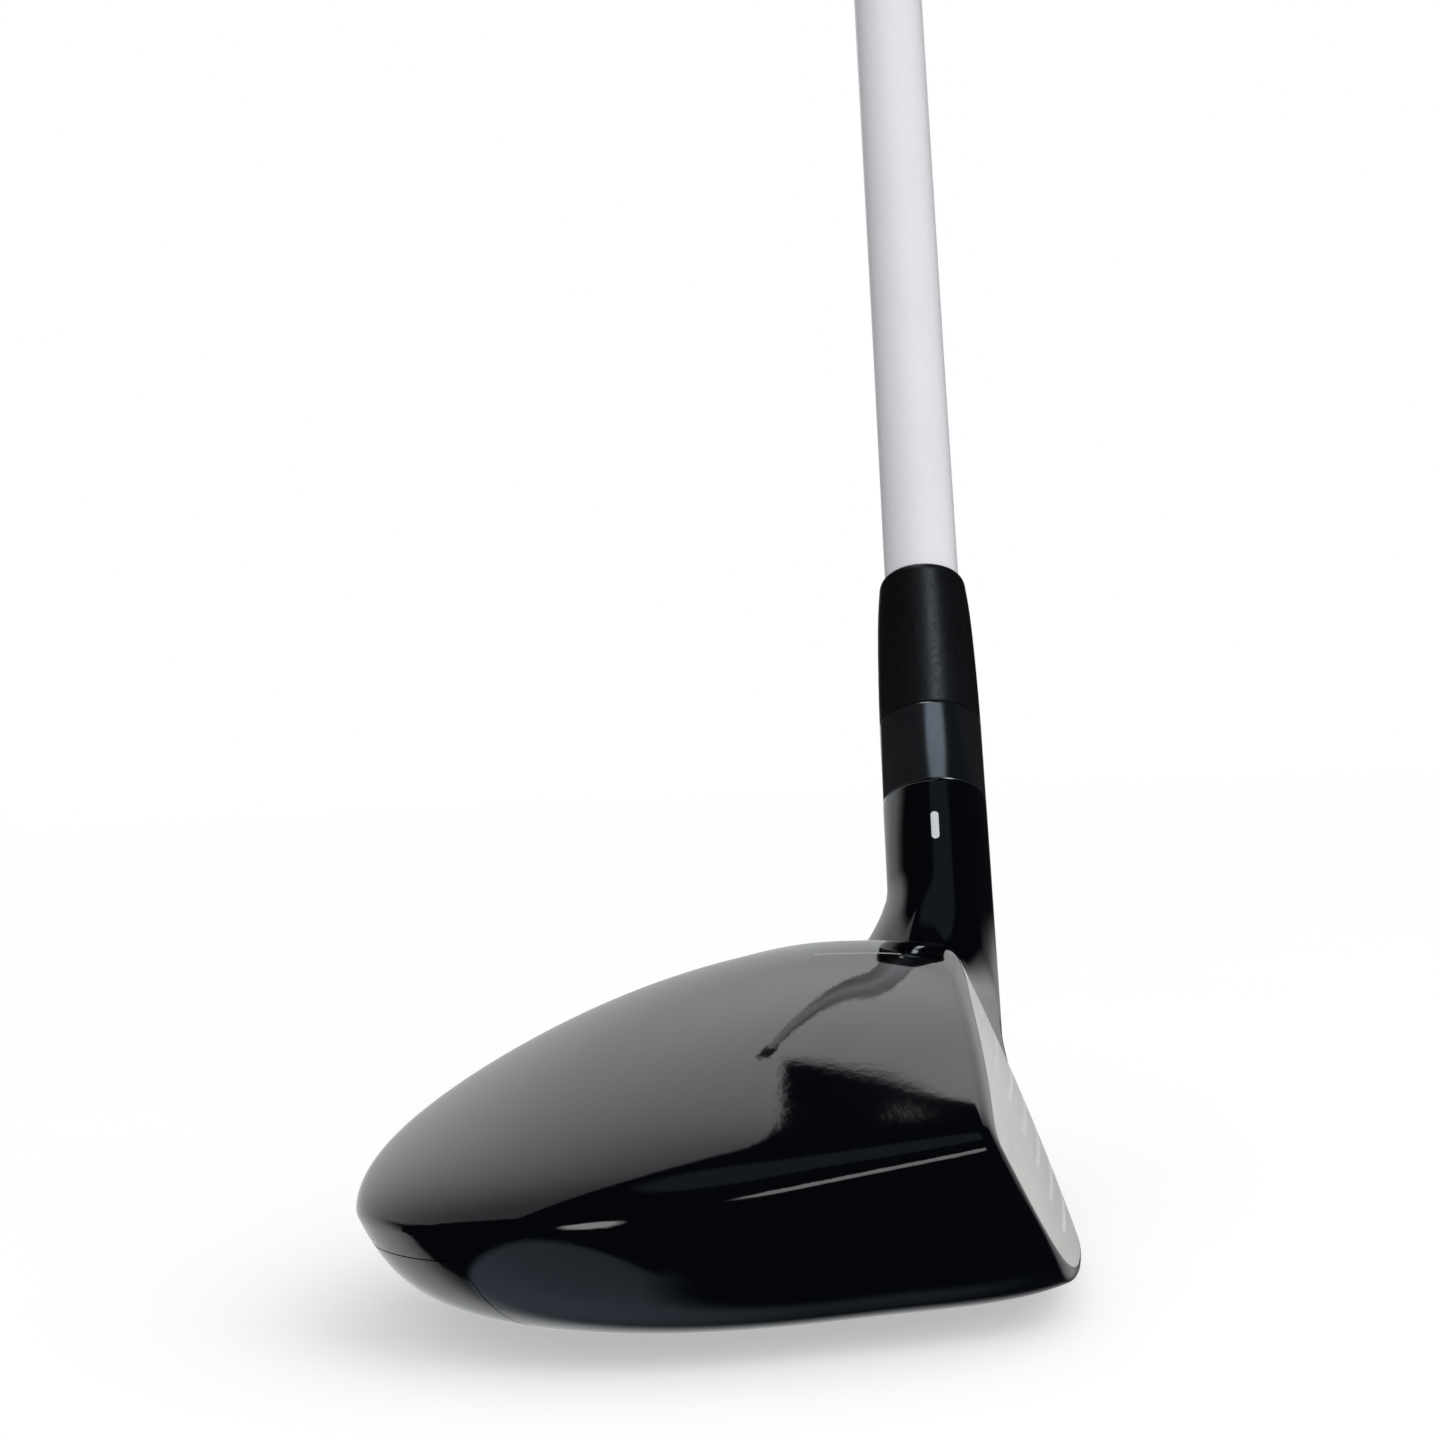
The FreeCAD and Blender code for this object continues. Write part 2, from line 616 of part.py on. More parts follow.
def sole_plan(inset):
    """Rear sole panel: two radial sides, the rim and a curved front edge."""
    share, inner = size("sole_share"), size("sole_inner")
    start, end = size("sole_from"), size("sole_to")
    mean_radius = 45.0  # turns an inset of the sides into an angle
    rim_shift = math.degrees(inset / mean_radius)
    nose_shift = math.degrees(inset / (mean_radius * inner))
    steps = 20
    rim = [plan_point(share, start + rim_shift + (end - start - 2 * rim_shift) * i / steps, inset)
           for i in range(steps + 1)]
    toe_end = plan_point(inner, end - nose_shift, -inset)
    heel_end = plan_point(inner, start + nose_shift, -inset)
    middle = Vector(0.5 * (toe_end.x + heel_end.x), size("sole_nose") + inset, 0)

    def shoulder(corner):
        return Vector(0.5 * (corner.x + middle.x), 0.25 * corner.y + 0.75 * middle.y, 0)

    nose = [toe_end, shoulder(toe_end), middle, shoulder(heel_end), heel_end]
    return [rim, [rim[-1], nose[0]], nose, [nose[-1], rim[0]]]


# ------------------------------------------------------------------ head parts
WALL, PANEL, GAP = size("wall"), size("panel_thick"), size("panel_gap")
LEDGE, LAP = size("ledge_wide"), size("ledge_lap")
ABOVE = 70    # a height clear above the head
BELOW = -10   # a height clear below the sole
SPECK = 0.5   # largest stray solid, in mm3, that a boolean may leave behind


def hosel_cylinder(radius, low, high):
    """Cylinder on the hosel axis between two stations."""
    lie = math.radians(size("lie_angle"))
    axis = Vector(math.cos(lie), 0, math.sin(lie))
    foot = Vector(size("hosel_x"), size("hosel_y"), 0)
    return Part.makeCylinder(radius, high - low, foot + axis * low, axis)


def weight_cylinder(radius, low, tall):
    """Upright cylinder on the rear weight's axis."""
    return Part.makeCylinder(radius, tall, Vector(0, size("weight_y"), low))


def free_form(label, shape):
    """Keep the largest solid of a shape as a part."""
    solids = sorted(shape.Solids, key=lambda solid: -solid.Volume)
    if not solids or len(solids) > 1 and solids[1].Volume > SPECK:
        raise RuntimeError("%s has %d solids" % (label, len(solids)))
    feature = doc.addObject("Part::Feature", label)
    feature.Label = label
    feature.Shape = solids[0]
    feature.Placement = FreeCAD.Placement()
    PARTS.append(feature)


face_front = behind_face(0.0)
envelope = form(0.0).common(face_front)
panel_skin = form(0.0).cut(form(PANEL))


def crown_shell():
    """Crown panel, bonded on a ledge of the casting."""
    return panel_skin.common(plan_prism(crown_plan(GAP), size("crown_floor"), ABOVE))


def sole_panel():
    """Rear sole panel with a round hole for the weight boss."""
    inside = plan_prism(sole_plan(GAP), BELOW, size("sole_roof") - GAP)
    boss_hole = weight_cylinder(size("boss_radius") + GAP, -20, 40)
    return panel_skin.common(inside).cut(boss_hole)


def body_casting():
    """Thin wall open at the front, ledges, heel wall, hosel tube, web and weight boss."""
    wall = envelope.cut(form(WALL))
    wall = wall.cut(plan_prism(crown_plan(0.0), size("crown_floor"), ABOVE))
    wall = wall.cut(plan_prism(sole_plan(0.0), BELOW, size("sole_roof")))

    # ledges lie under the panels and lap past their edges into the wall
    ledges = form(PANEL + GAP).cut(form(PANEL + GAP + size("ledge_thick")))
    crown_out = plan_prism(crown_plan(-LAP), size("crown_floor") + size("crown_ledge_lift"),
                           ABOVE)
    crown_in = plan_prism(crown_plan(LEDGE), 0, ABOVE)
    crown_ledge = ledges.common(crown_out).cut(crown_in)
    sole_out = plan_prism(sole_plan(-LAP), BELOW, size("sole_roof") - size("sole_ledge_drop"))
    sole_in = plan_prism(sole_plan(LEDGE * size("sole_ledge_share")), BELOW, 30)
    sole_ledge = ledges.common(sole_out).cut(sole_in)

    # solid front wall on the heel side of the face plate
    heel_box = Part.makeBox(60, 200, 120, Vector(size("face_heel_end") + GAP, -100, -30))
    heel_wall = envelope.common(heel_box).cut(behind_face(size("face_thick")))
    tube_low = hosel_cylinder(size("hosel_radius"), -6, 30).common(envelope)
    tube_high = hosel_cylinder(size("hosel_radius"), size("tube_start"), size("hosel_top"))
    boss = weight_cylinder(size("boss_radius"), BELOW, size("boss_top") - BELOW)
    boss = boss.common(form(0.0))
    # web inside the sole panel that carries the weight boss
    web_tall = 20
    web = form(PANEL + GAP).common(Part.makeBox(
        size("web_wide"), size("web_long"), web_tall,
        Vector(-0.5 * size("web_wide"), size("web_from"), size("web_top") - web_tall)))
    casting = wall.fuse([crown_ledge, sole_ledge, heel_wall, web, tube_low, tube_high, boss])

    # screw port, sleeve bore, weight recess and stud hole
    seat = size("seat_station")
    for hole in (hosel_cylinder(size("port_radius"), -12, seat + 1),
                 hosel_cylinder(size("bore_radius"), seat, size("hosel_top") + 5),
                 weight_cylinder(size("boss_recess"), -20, size("boss_floor") + 20),
                 weight_cylinder(size("boss_thread"), -20, 60)):
        casting = casting.cut(hole)
    return casting


def face_plate():
    """Plate inset in the casting's front opening, scored with level grooves."""
    toe_box = Part.makeBox(120, 200, 120, Vector(size("face_heel_end") - 120, -100, -30))
    plate = form(size("face_inset")).common(face_front)
    plate = plate.cut(behind_face(size("face_thick"))).common(toe_box)
    toe, wide = size("groove_toe"), size("groove_wide")
    scores = []
    for i in range(int(size("groove_count"))):
        z = size("groove_top") - i * size("groove_pitch")
        scores.append(Part.makeBox(size("groove_heel") - toe, 120, wide,
                                   Vector(toe, -60, z - 0.5 * wide)))
    # a layer from 2 mm in front of the face to the groove floor limits the depth
    layer = behind_face(-2.0).cut(behind_face(size("groove_depth")))
    plate = plate.cut(layer.common(Part.makeCompound(scores)))
    return plate.cut(hosel_cylinder(size("hosel_radius") + GAP, -10, 60))


def hot_melt_pad():
    """Trim-weight hot melt on the inside of the sole."""
    layer = form(WALL + GAP).cut(form(WALL + size("melt_thick")))
    return layer.common(Part.makeCylinder(
        size("melt_radius"), 12, Vector(size("melt_x"), size("melt_y"), -4)))


for build in (crown_shell, sole_panel, body_casting, face_plate, hot_melt_pad):
    free_form(build.__name__, build())

# ------------------------------------------------------------------ checks and files
doc.recompute()
for item in doc.Objects:
    if "Invalid" in item.State or "Error" in item.State:
        raise RuntimeError("%s: %s" % (item.Label, item.State))
for part in PARTS:
    if part.Shape.isNull() or not part.Shape.isValid():
        raise RuntimeError(part.Label + ": shape is null or not valid")
    if len(part.Shape.Solids) != 1 or part.Shape.Volume <= 0:
        raise RuntimeError(part.Label + ": not one solid")

os.makedirs("parts", exist_ok=True)
for part in PARTS:
    part.Shape.exportStep(os.path.join("parts", part.Label + ".step"))
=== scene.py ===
import bpy
import json
import math
import numpy as np
from functools import cached_property, reduce
from mathutils import Matrix, Vector


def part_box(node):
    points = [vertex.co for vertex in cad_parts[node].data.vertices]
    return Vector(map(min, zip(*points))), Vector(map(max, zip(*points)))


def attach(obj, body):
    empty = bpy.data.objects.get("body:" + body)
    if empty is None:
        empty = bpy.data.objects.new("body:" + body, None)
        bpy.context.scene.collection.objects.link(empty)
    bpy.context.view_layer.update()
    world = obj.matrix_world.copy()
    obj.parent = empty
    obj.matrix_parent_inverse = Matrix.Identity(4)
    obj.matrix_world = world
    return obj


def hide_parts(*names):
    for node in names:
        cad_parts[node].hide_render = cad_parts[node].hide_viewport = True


# A golf wood standing on its sole: head, scored face, index band, ferrule, shaft and grip.
# x runs from the toe (-) to the heel (+), y from the face (-) to the rear (+), z up from
# the ground. Shapes are worked out in millimetres; make_object turns them into metres.
# A "station" is a distance along the hosel axis, measured from where it meets the ground.

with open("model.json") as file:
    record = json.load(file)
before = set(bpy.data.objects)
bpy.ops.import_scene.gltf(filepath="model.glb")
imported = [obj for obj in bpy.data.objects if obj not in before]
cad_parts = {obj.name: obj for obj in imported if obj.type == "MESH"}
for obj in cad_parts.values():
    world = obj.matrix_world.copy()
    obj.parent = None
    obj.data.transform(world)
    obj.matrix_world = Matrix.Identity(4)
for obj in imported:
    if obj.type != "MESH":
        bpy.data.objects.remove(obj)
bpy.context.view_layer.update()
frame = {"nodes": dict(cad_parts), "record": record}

MM = 0.001

# ------------------------------------------------------------------ hosel axis and CAD stations
sleeve = next(j for j in frame["record"]["behaviour"]["joints"] if j["name"] == "sleeve_index")
AXIS = np.array(sleeve["axis"], float)
AXIS /= np.linalg.norm(AXIS)
SLEEVE_AT = np.array(sleeve["pos_m"], float) / MM
FOOT = SLEEVE_AT - AXIS * (SLEEVE_AT[2] / AXIS[2])  # where the axis meets the ground
REAR = np.array([0.0, 1.0, 0.0])                    # square to the axis
TOEWARD = np.cross(AXIS, REAR)                      # square to both, towards the toe
UP = np.array([0.0, 0.0, 1.0])


def reach(node):
    """Lowest and highest station of a CAD node."""
    mesh = frame["nodes"][node].data
    spots = np.empty(len(mesh.vertices) * 3, np.float32)
    mesh.vertices.foreach_get("co", spots)
    stations = (spots.reshape(-1, 3).astype(float) / MM - FOOT) @ AXIS
    return float(stations.min()), float(stations.max())


RING_LOW, RING_HIGH = reach("index_ring")
FERRULE_LOW, FERRULE_HIGH = reach("ferrule")
SHAFT_LOW, SHAFT_HIGH = reach("shaft")
GRIP_LOW, GRIP_HIGH = reach("grip")
CAP_LOW = reach("grip_cap")[0]
RING_GAP = 0.05
HOSEL_TOP = RING_LOW - RING_GAP
weight_low, weight_high = [np.array(v, float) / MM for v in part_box("rear_weight")]
WEIGHT_AT = 0.5 * (weight_low + weight_high)
WEIGHT_FOOT = np.array([WEIGHT_AT[0], WEIGHT_AT[1], 0.0])

# ------------------------------------------------------------------ head form
# Plan radius every 30 degrees, counted from the heel (+x) towards the rear
OUTLINE = [47.117, 51.585, 47.117, 51.287, 59.653, 58.452,
           47.500, 45.547, 38.436, 40.601, 47.279, 48.386]
OUTLINE_AT = [30.0 * i for i in range(len(OUTLINE))]
# Height of the rim, where crown meets skirt, at these angles
RIM_AT = [0.0, 90.0, 180.0, 225.0, 270.0]
RIM_HEIGHT = [19.411, 12.425, 19.362, 23.804, 26.729]
SHARE_MAX = 1.35                        # cap on the share of the plan radius

CROWN_TOP = 37.068
CROWN_FALL, CROWN_ROUND = 2.093, 1.787  # powers of the crown curve, across and up
SOLE_POWER, SOLE_CAMBER = 13.163, 0.267
SOLE_PAD = 0.18                         # share of the radius that is left flat
RIM_BLEND = 0.22

LOFT = math.tan(math.radians(20.706))
BULGE_R, ROLL_R = 263.0, 246.7          # radii of the face across and up
BULGE_X, ROLL_Z = 2.915, 18.0           # where bulge and roll are centred
LEAD_Y, LEAD_Z = -24.216, 3.0           # point on the flat loft plane, at x = BULGE_X
EDGE_R = 1.15                           # rounding between face and body

HOSEL_R = 6.682
BORE_R = 5.70
TUBE_LOW, TUBE_LOW_R = 9.0, 1.9         # buried end of the tube and its rounding
FLARE_TOP, FLARE_TALL = 45.6, 16.6      # below this station the neck spreads into the crown
FLARE_OUT, FLARE_FOOT = 5.4, 10.0
NECK_BLEND, REAR_BLEND, TOE_BLEND = 2.2, 7.5, 9.0
BLEND_TOP, BLEND_TALL = 46.5, 4.0       # the extra blend fades in below this station


def closed_spline(knots, values):
    """Cubic spline through values at knots in degrees, closed over the full turn."""
    knots, values = np.array(knots, float), np.array(values, float)
    n = len(knots)
    gap = np.array([(knots[(i + 1) % n] - knots[i]) % 360.0 for i in range(n)])
    system, target = np.zeros((n, n)), np.zeros(n)
    for i in range(n):
        before, after = gap[i - 1], gap[i]
        system[i, (i - 1) % n] += before
        system[i, i] += 2 * (before + after)
        system[i, (i + 1) % n] += after
        target[i] = 6 * ((values[(i + 1) % n] - values[i]) / after
                         - (values[i] - values[i - 1]) / before)
    bend = np.linalg.solve(system, target)

    def value_at(angle):
        angle = np.mod(angle - knots[0], 360.0) + knots[0]
        i = np.clip(np.searchsorted(knots, angle, side="right") - 1, 0, n - 1)
        j = (i + 1) % n
        span = gap[i]
        c = (angle - knots[i]) / span
        d = 1 - c
        return (d * values[i] + c * values[j]
                + ((d ** 3 - d) * bend[i] + (c ** 3 - c) * bend[j]) * span * span / 6)
    return value_at


outline_at = closed_spline(OUTLINE_AT, OUTLINE)
rim_at = closed_spline(RIM_AT, RIM_HEIGHT)


def plan(x, y):
    """Share of the plan radius reached, the plan radius, and the rim height."""
    distance = np.hypot(x, y)
    angle = np.degrees(np.arctan2(y, x))
    outline = outline_at(angle)
    return np.minimum(distance / outline, SHARE_MAX), outline, rim_at(angle)


def body_distance(share, outline, rim, z):
    """Signed distance (near enough) to the crown and sole before the face is cut."""
    s = np.maximum(share, 1e-4)
    base = rim * s * s
    tall = np.maximum(CROWN_TOP - base, 4.0)
    q = np.maximum(z - base, 1e-6) / tall
    level = s ** CROWN_FALL + q ** CROWN_ROUND
    lift = CROWN_ROUND * q ** (CROWN_ROUND - 1) * 2 * rim * s * (1 - q) / tall * (z > base)
    grad_s = (CROWN_FALL * s ** (CROWN_FALL - 1) - lift) / outline
    grad_z = CROWN_ROUND * q ** (CROWN_ROUND - 1) / tall * (z > base)
    crown = (level - 1) / np.sqrt(np.maximum(grad_s * grad_s + grad_z * grad_z, 2e-4))
    low = rim * ((1 - SOLE_CAMBER) * s ** SOLE_POWER
                 + SOLE_CAMBER * np.maximum(s * s - SOLE_PAD * SOLE_PAD, 0)
                 / (1 - SOLE_PAD * SOLE_PAD))
    slope = rim * ((1 - SOLE_CAMBER) * SOLE_POWER * s ** (SOLE_POWER - 1)
                   + 2 * SOLE_CAMBER * s / (1 - SOLE_PAD * SOLE_PAD)) / outline
    sole = (low - z) / np.sqrt(1 + slope * slope)
    ease = np.maximum(RIM_BLEND - np.abs(crown - sole), 0) / RIM_BLEND
    return np.maximum(crown, sole) + ease * ease * RIM_BLEND / 4


def face_y(x, z):
    u = x - BULGE_X
    return LEAD_Y + (z - LEAD_Z) * LOFT + u * u / (2 * BULGE_R) + (z - ROLL_Z) ** 2 / (2 * ROLL_R)


def face_grade(x, z):
    """Distance along y for each unit of distance square to the face."""
    return np.sqrt(1 + ((x - BULGE_X) / BULGE_R) ** 2 + (LOFT + (z - ROLL_Z) / ROLL_R) ** 2)


def face_distance(x, y, z):
    return (face_y(x, z) - y) / face_grade(x, z)


def round_both(a, b, r):
    """Overlap of two signed distances, its edge rounded to radius r."""
    return np.minimum(np.maximum(a, b), -r) + np.hypot(np.maximum(a + r, 0), np.maximum(b + r, 0))


def smoothstep(t):
    return t * t * (3 - 2 * t)


def head(x, y, z, fields):
    """Signed distance to the head with its hosel; fields is plan(x, y)."""
    body = round_both(body_distance(*fields, z), face_distance(x, y, z), EDGE_R)
    px, py, pz = x - FOOT[0], y - FOOT[1], z - FOOT[2]
    along = px * AXIS[0] + py * AXIS[1] + pz * AXIS[2]
    away = np.sqrt(np.maximum((px - along * AXIS[0]) ** 2 + (py - along * AXIS[1]) ** 2
                              + (pz - along * AXIS[2]) ** 2, 1e-9))
    rear = smoothstep(np.clip(py / away, 0, 1))
    rise = np.clip((FLARE_TOP - along) / FLARE_TALL, 0, 1)
    fade = np.clip((along - FLARE_FOOT) / (FLARE_TOP - FLARE_TALL - FLARE_FOOT), 0, 1)
    sweep = FLARE_OUT * rise * rise * (3 - 2 * rise) * fade * fade * (3 - 2 * fade)
    tube = round_both(away - HOSEL_R - rear * sweep, TUBE_LOW - along, TUBE_LOW_R)
    toe = np.clip((along * AXIS[0] - px) / away, 0, 1)
    blend = NECK_BLEND + (np.maximum(REAR_BLEND * rear, TOE_BLEND * toe)
                          * np.clip((BLEND_TOP - along) / BLEND_TALL, 0, 1))
    ease = np.maximum(blend - np.abs(body - tube), 0) / blend
    return np.minimum(body, tube) - ease * ease * blend / 4


def head_at(p):
    x, y, z = p.T
    return head(x, y, z, plan(x, y))


# ------------------------------------------------------------------ moving points onto surfaces
STEP_CAP = 0.4                          # longest move in one round


def unit(v):
    return v / np.maximum(np.linalg.norm(v, axis=-1, keepdims=True), 1e-12)


def slope_of(distance, p, e=0.01):
    """Gradient by central differences."""
    grad = np.empty_like(p)
    for k in range(3):
        shift = np.zeros(3)
        shift[k] = e
        grad[:, k] = (distance(p + shift) - distance(p - shift)) / (2 * e)
    return grad


def capped(step):
    size = np.linalg.norm(step, axis=1)
    return step * np.minimum(1, STEP_CAP / np.maximum(size, 1e-9))[:, None]


def settle(p, rounds):
    """Moves points onto the head."""
    for _ in range(rounds):
        grad = slope_of(head_at, p)
        p = p - capped((head_at(p) / np.maximum((grad * grad).sum(1), 0.05))[:, None] * grad)
    return p


def settle_on_edge(edge, p, rounds):
    """Moves points to where both the head and edge are zero, by the shortest steps."""
    for _ in range(rounds):
        grad_h, grad_e = slope_of(head_at, p), slope_of(edge, p)
        off_h, off_e = head_at(p), edge(p)
        a, b, c = (grad_h * grad_h).sum(1), (grad_h * grad_e).sum(1), (grad_e * grad_e).sum(1)
        det = np.maximum(a * c - b * b, 1e-4)
        by_h, by_e = (c * off_h - b * off_e) / det, (a * off_e - b * off_h) / det
        p = p - capped(by_h[:, None] * grad_h + by_e[:, None] * grad_e)
    return p


def surface_net(values, low, h):
    """Quad mesh of the zero surface of a sampled field: one vertex in each crossed cell."""
    inside = values < 0
    corners = np.zeros(tuple(n - 1 for n in inside.shape), np.uint8)
    nx, ny, nz = corners.shape
    for i in (0, 1):
        for j in (0, 1):
            for k in (0, 1):
                corners += inside[i:nx + i, j:ny + j, k:nz + k]
    live = (corners > 0) & (corners < 8)
    ids = np.full(live.shape, -1, np.int32)
    cells = np.argwhere(live)
    ids[live] = np.arange(len(cells))
    verts = low + (cells + 0.5) * h
    quads = []
    for along in range(3):
        u, v = (along + 1) % 3, (along + 2) % 3
        first = [slice(None)] * 3
        second = [slice(None)] * 3
        first[along], second[along] = slice(0, -1), slice(1, None)
        starts_in = inside[tuple(first)]
        at = np.argwhere(starts_in != inside[tuple(second)])
        at = at[(at[:, u] > 0) & (at[:, v] > 0)
                & (at[:, u] < ids.shape[u]) & (at[:, v] < ids.shape[v])]
        du, dv = np.zeros(3, int), np.zeros(3, int)
        du[u], dv[v] = 1, 1
        ring = np.stack([ids[tuple(q.T)] for q in (at - du - dv, at - dv, at, at - du)], 1)
        flip = ~starts_in[tuple(at.T)]
        ring[flip] = ring[flip][:, ::-1]
        quads.append(ring)
    quads = np.concatenate(quads)
    return verts, quads[(quads >= 0).all(1)]


def relax(p, quads, rounds):
    """Evens out the mesh while keeping it on the head."""
    n = len(p)
    for _ in range(rounds):
        total, weight = np.zeros((n, 3)), np.zeros(n)
        for c in range(4):
            a, b = quads[:, c], quads[:, (c + 1) % 4]
            for k in range(3):
                total[:, k] += np.bincount(a, p[b, k], n) + np.bincount(b, p[a, k], n)
            weight += np.bincount(a, minlength=n) + np.bincount(b, minlength=n)
        mean = total / np.maximum(weight, 1)[:, None]
        p = settle(p + 0.7 * (mean - p), 1)
    return p


# ------------------------------------------------------------------ meshes
def make_object(name, verts, quads, loop_normals=None, face_material=None):
    """Smooth quad mesh; verts in millimetres."""
    mesh = bpy.data.meshes.new(name)
    verts = np.asarray(verts, float) * MM
    mesh.vertices.add(len(verts))
    mesh.vertices.foreach_set("co", verts.astype(np.float32).ravel())
    mesh.loops.add(quads.size)
    mesh.loops.foreach_set("vertex_index", quads.reshape(-1).astype(np.int32))
    mesh.polygons.add(len(quads))
    mesh.polygons.foreach_set("loop_start", np.arange(0, quads.size, 4, dtype=np.int32))
    mesh.update(calc_edges=True)
    mesh.polygons.foreach_set("use_smooth", np.full(len(quads), True))
    if face_material is not None:
        mesh.polygons.foreach_set("material_index", np.asarray(face_material, np.int32))
    if loop_normals is not None:
        mesh.normals_split_custom_set(loop_normals.astype(float).tolist())
    mesh.update()
    obj = bpy.data.objects.new(name, mesh)
    bpy.context.scene.collection.objects.link(obj)
    return obj


def enlist(obj, body, slot, *cad_nodes):
    """Attaches the piece to the body that moves it and hides the CAD nodes it replaces; slot is not
    used.
    """
    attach(obj, body)
    if cad_nodes:
        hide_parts(*cad_nodes)


def turned(radii, stations, count):
    """Rings of points round the hosel axis; radii has a row for each station."""
    turn = np.linspace(0, 2 * math.pi, count, endpoint=False)
    spokes = np.cos(turn)[:, None] * REAR + np.sin(turn)[:, None] * TOEWARD
    return FOOT + AXIS * stations[:, None, None] + spokes[None] * radii[..., None]


def torus_quads(rows, count):
    """Quads of a grid that closes both ways."""
    ids = np.arange(rows * count).reshape(rows, count)
    following = np.roll(ids, -1, axis=0)
    return np.stack([ids, following, np.roll(following, -1, 1), np.roll(ids, -1, 1)],
                    -1).reshape(-1, 4)


def lathe(name, profile, seg=128, sharp=28.0):
    """Closed piece turned on the hosel axis. The profile lists (radius, station) corners once
    round the section; those that turn by more than sharp degrees become hard edges."""
    section = np.array([p for i, p in enumerate(profile)
                        if i == 0 or math.dist(p, profile[i - 1]) > 1e-6])
    verts = turned(section[:, :1], section[:, 1], seg).reshape(-1, 3)
    obj = make_object(name, verts, torus_quads(len(section), seg))
    before = section - np.roll(section, 1, axis=0)
    after = np.roll(section, -1, axis=0) - section
    bend = np.degrees(np.arctan2(before[:, 0] * after[:, 1] - before[:, 1] * after[:, 0],
                                 (before * after).sum(1)))
    hard_ring = np.abs(bend) > sharp
    mesh = obj.data
    ends = np.empty(len(mesh.edges) * 2, np.int32)
    mesh.edges.foreach_get("vertices", ends)
    ring = ends.reshape(-1, 2) // seg
    hard = (ring[:, 0] == ring[:, 1]) & hard_ring[ring[:, 0]]
    attribute = (mesh.attributes.get("sharp_edge")
                 or mesh.attributes.new("sharp_edge", "BOOLEAN", "EDGE"))
    attribute.data.foreach_set("value", hard)
    mesh.update()
    return obj


def quarter(radius, station, r, start):
    """Quarter circle of (radius, station) points from a start angle in degrees."""
    angles = [math.radians(start + 90 * i / 5) for i in range(6)]
    return [(radius + r * math.cos(a), station + r * math.sin(a)) for a in angles]


def from_table(s, table):
    """Second column of a table, read off straight lines between its rows."""
    return np.interp(s, *np.transpose(table))


def sheet(rows, cols):
    """Quads of an open grid, its border loop, and that loop moved on by one."""
    ids = np.arange(rows * cols).reshape(rows, cols)
    quads = np.stack([ids[:-1, :-1], ids[:-1, 1:], ids[1:, 1:], ids[1:, :-1]], -1).reshape(-1, 4)
    ring = np.concatenate([ids[0, :], ids[1:, -1], ids[-1, -2::-1], ids[-2:0:-1, 0]])
    return quads, ring, np.roll(ring, -1)


def flat_normals(verts, quads):
    """One normal for each quad, given at its four corners."""
    p = verts[quads]
    normals = unit(np.cross(p[:, 2] - p[:, 0], p[:, 3] - p[:, 1]))
    return np.repeat(normals[:, None], 4, 1)


# ------------------------------------------------------------------ head skin
CELL = 0.42
GRID_LOW = np.array([-53.5, -26.8, -1.7])
GRID_HIGH = np.array([67.0, 56.6, 47.5])
SLAB = 16                               # layers sampled at a time, to save memory


def sample_head():
    counts = np.ceil((GRID_HIGH - GRID_LOW) / CELL).astype(int) + 1
    xs, ys, zs = [GRID_LOW[k] + CELL * np.arange(counts[k]) for k in range(3)]
    x, y = np.meshgrid(xs, ys, indexing="ij")
    fields = [f[:, :, None].astype(np.float32) for f in plan(x, y)]
    x, y = x[:, :, None].astype(np.float32), y[:, :, None].astype(np.float32)
    values = np.empty(tuple(counts), np.float32)
    for k in range(0, counts[2], SLAB):
        z = zs[k:k + SLAB][None, None, :].astype(np.float32)
        values[:, :, k:k + SLAB] = head(x, y, z, fields)
    return values


skin_v, skin_q = surface_net(sample_head(), GRID_LOW, CELL)
skin_v = settle(skin_v, 4)
skin_v = relax(skin_v, skin_q, 6)

# ------------------------------------------------------------------ regions of the skin
# Each edge function is negative inside its region.
TUBE_START = 46.0                       # the plain hosel tube takes over at this station
FACE_HEEL, FACE_HEEL_R = 27.0, 3.0      # heel end of the face in x, and its corner radius
FACE_INSET = EDGE_R + 0.02
PORT_R = 4.6                            # opening in the sole on the hosel axis
RECESS_R, BOSS_R = 8.1, 10.5            # opening for the weight, and the ring round it
PANEL_SHARE, PANEL_HEEL, PANEL_TOE = 0.975, math.radians(43.0), math.radians(137.5)
PANEL_FRONT, PANEL_BOW, PANEL_MID_X = 12.5, 0.012, -1.6
CROWN_SHARE, CROWN_FRONT = 0.95, -4.0


def axis_place(p):
    """Station of each point and its distance from the hosel axis."""
    q = p - FOOT
    along = q @ AXIS
    return along, np.linalg.norm(q - along[:, None] * AXIS, axis=1)


def weight_distance(p):
    return np.hypot(p[:, 0] - WEIGHT_AT[0], p[:, 1] - WEIGHT_AT[1])


def rim_edge(p, share_limit):
    share, outline, _ = plan(p[:, 0], p[:, 1])
    return (share - share_limit) * outline


def tube_edge(p):
    return TUBE_START - axis_place(p)[0]


def face_edge(p):
    inner = body_distance(*plan(p[:, 0], p[:, 1]), p[:, 2]) + FACE_INSET
    return round_both(inner, p[:, 0] - FACE_HEEL, FACE_HEEL_R)


def port_edge(p):
    return axis_place(p)[1] - PORT_R


def recess_edge(p):
    return weight_distance(p) - RECESS_R


def boss_edge(p):
    return weight_distance(p) - BOSS_R


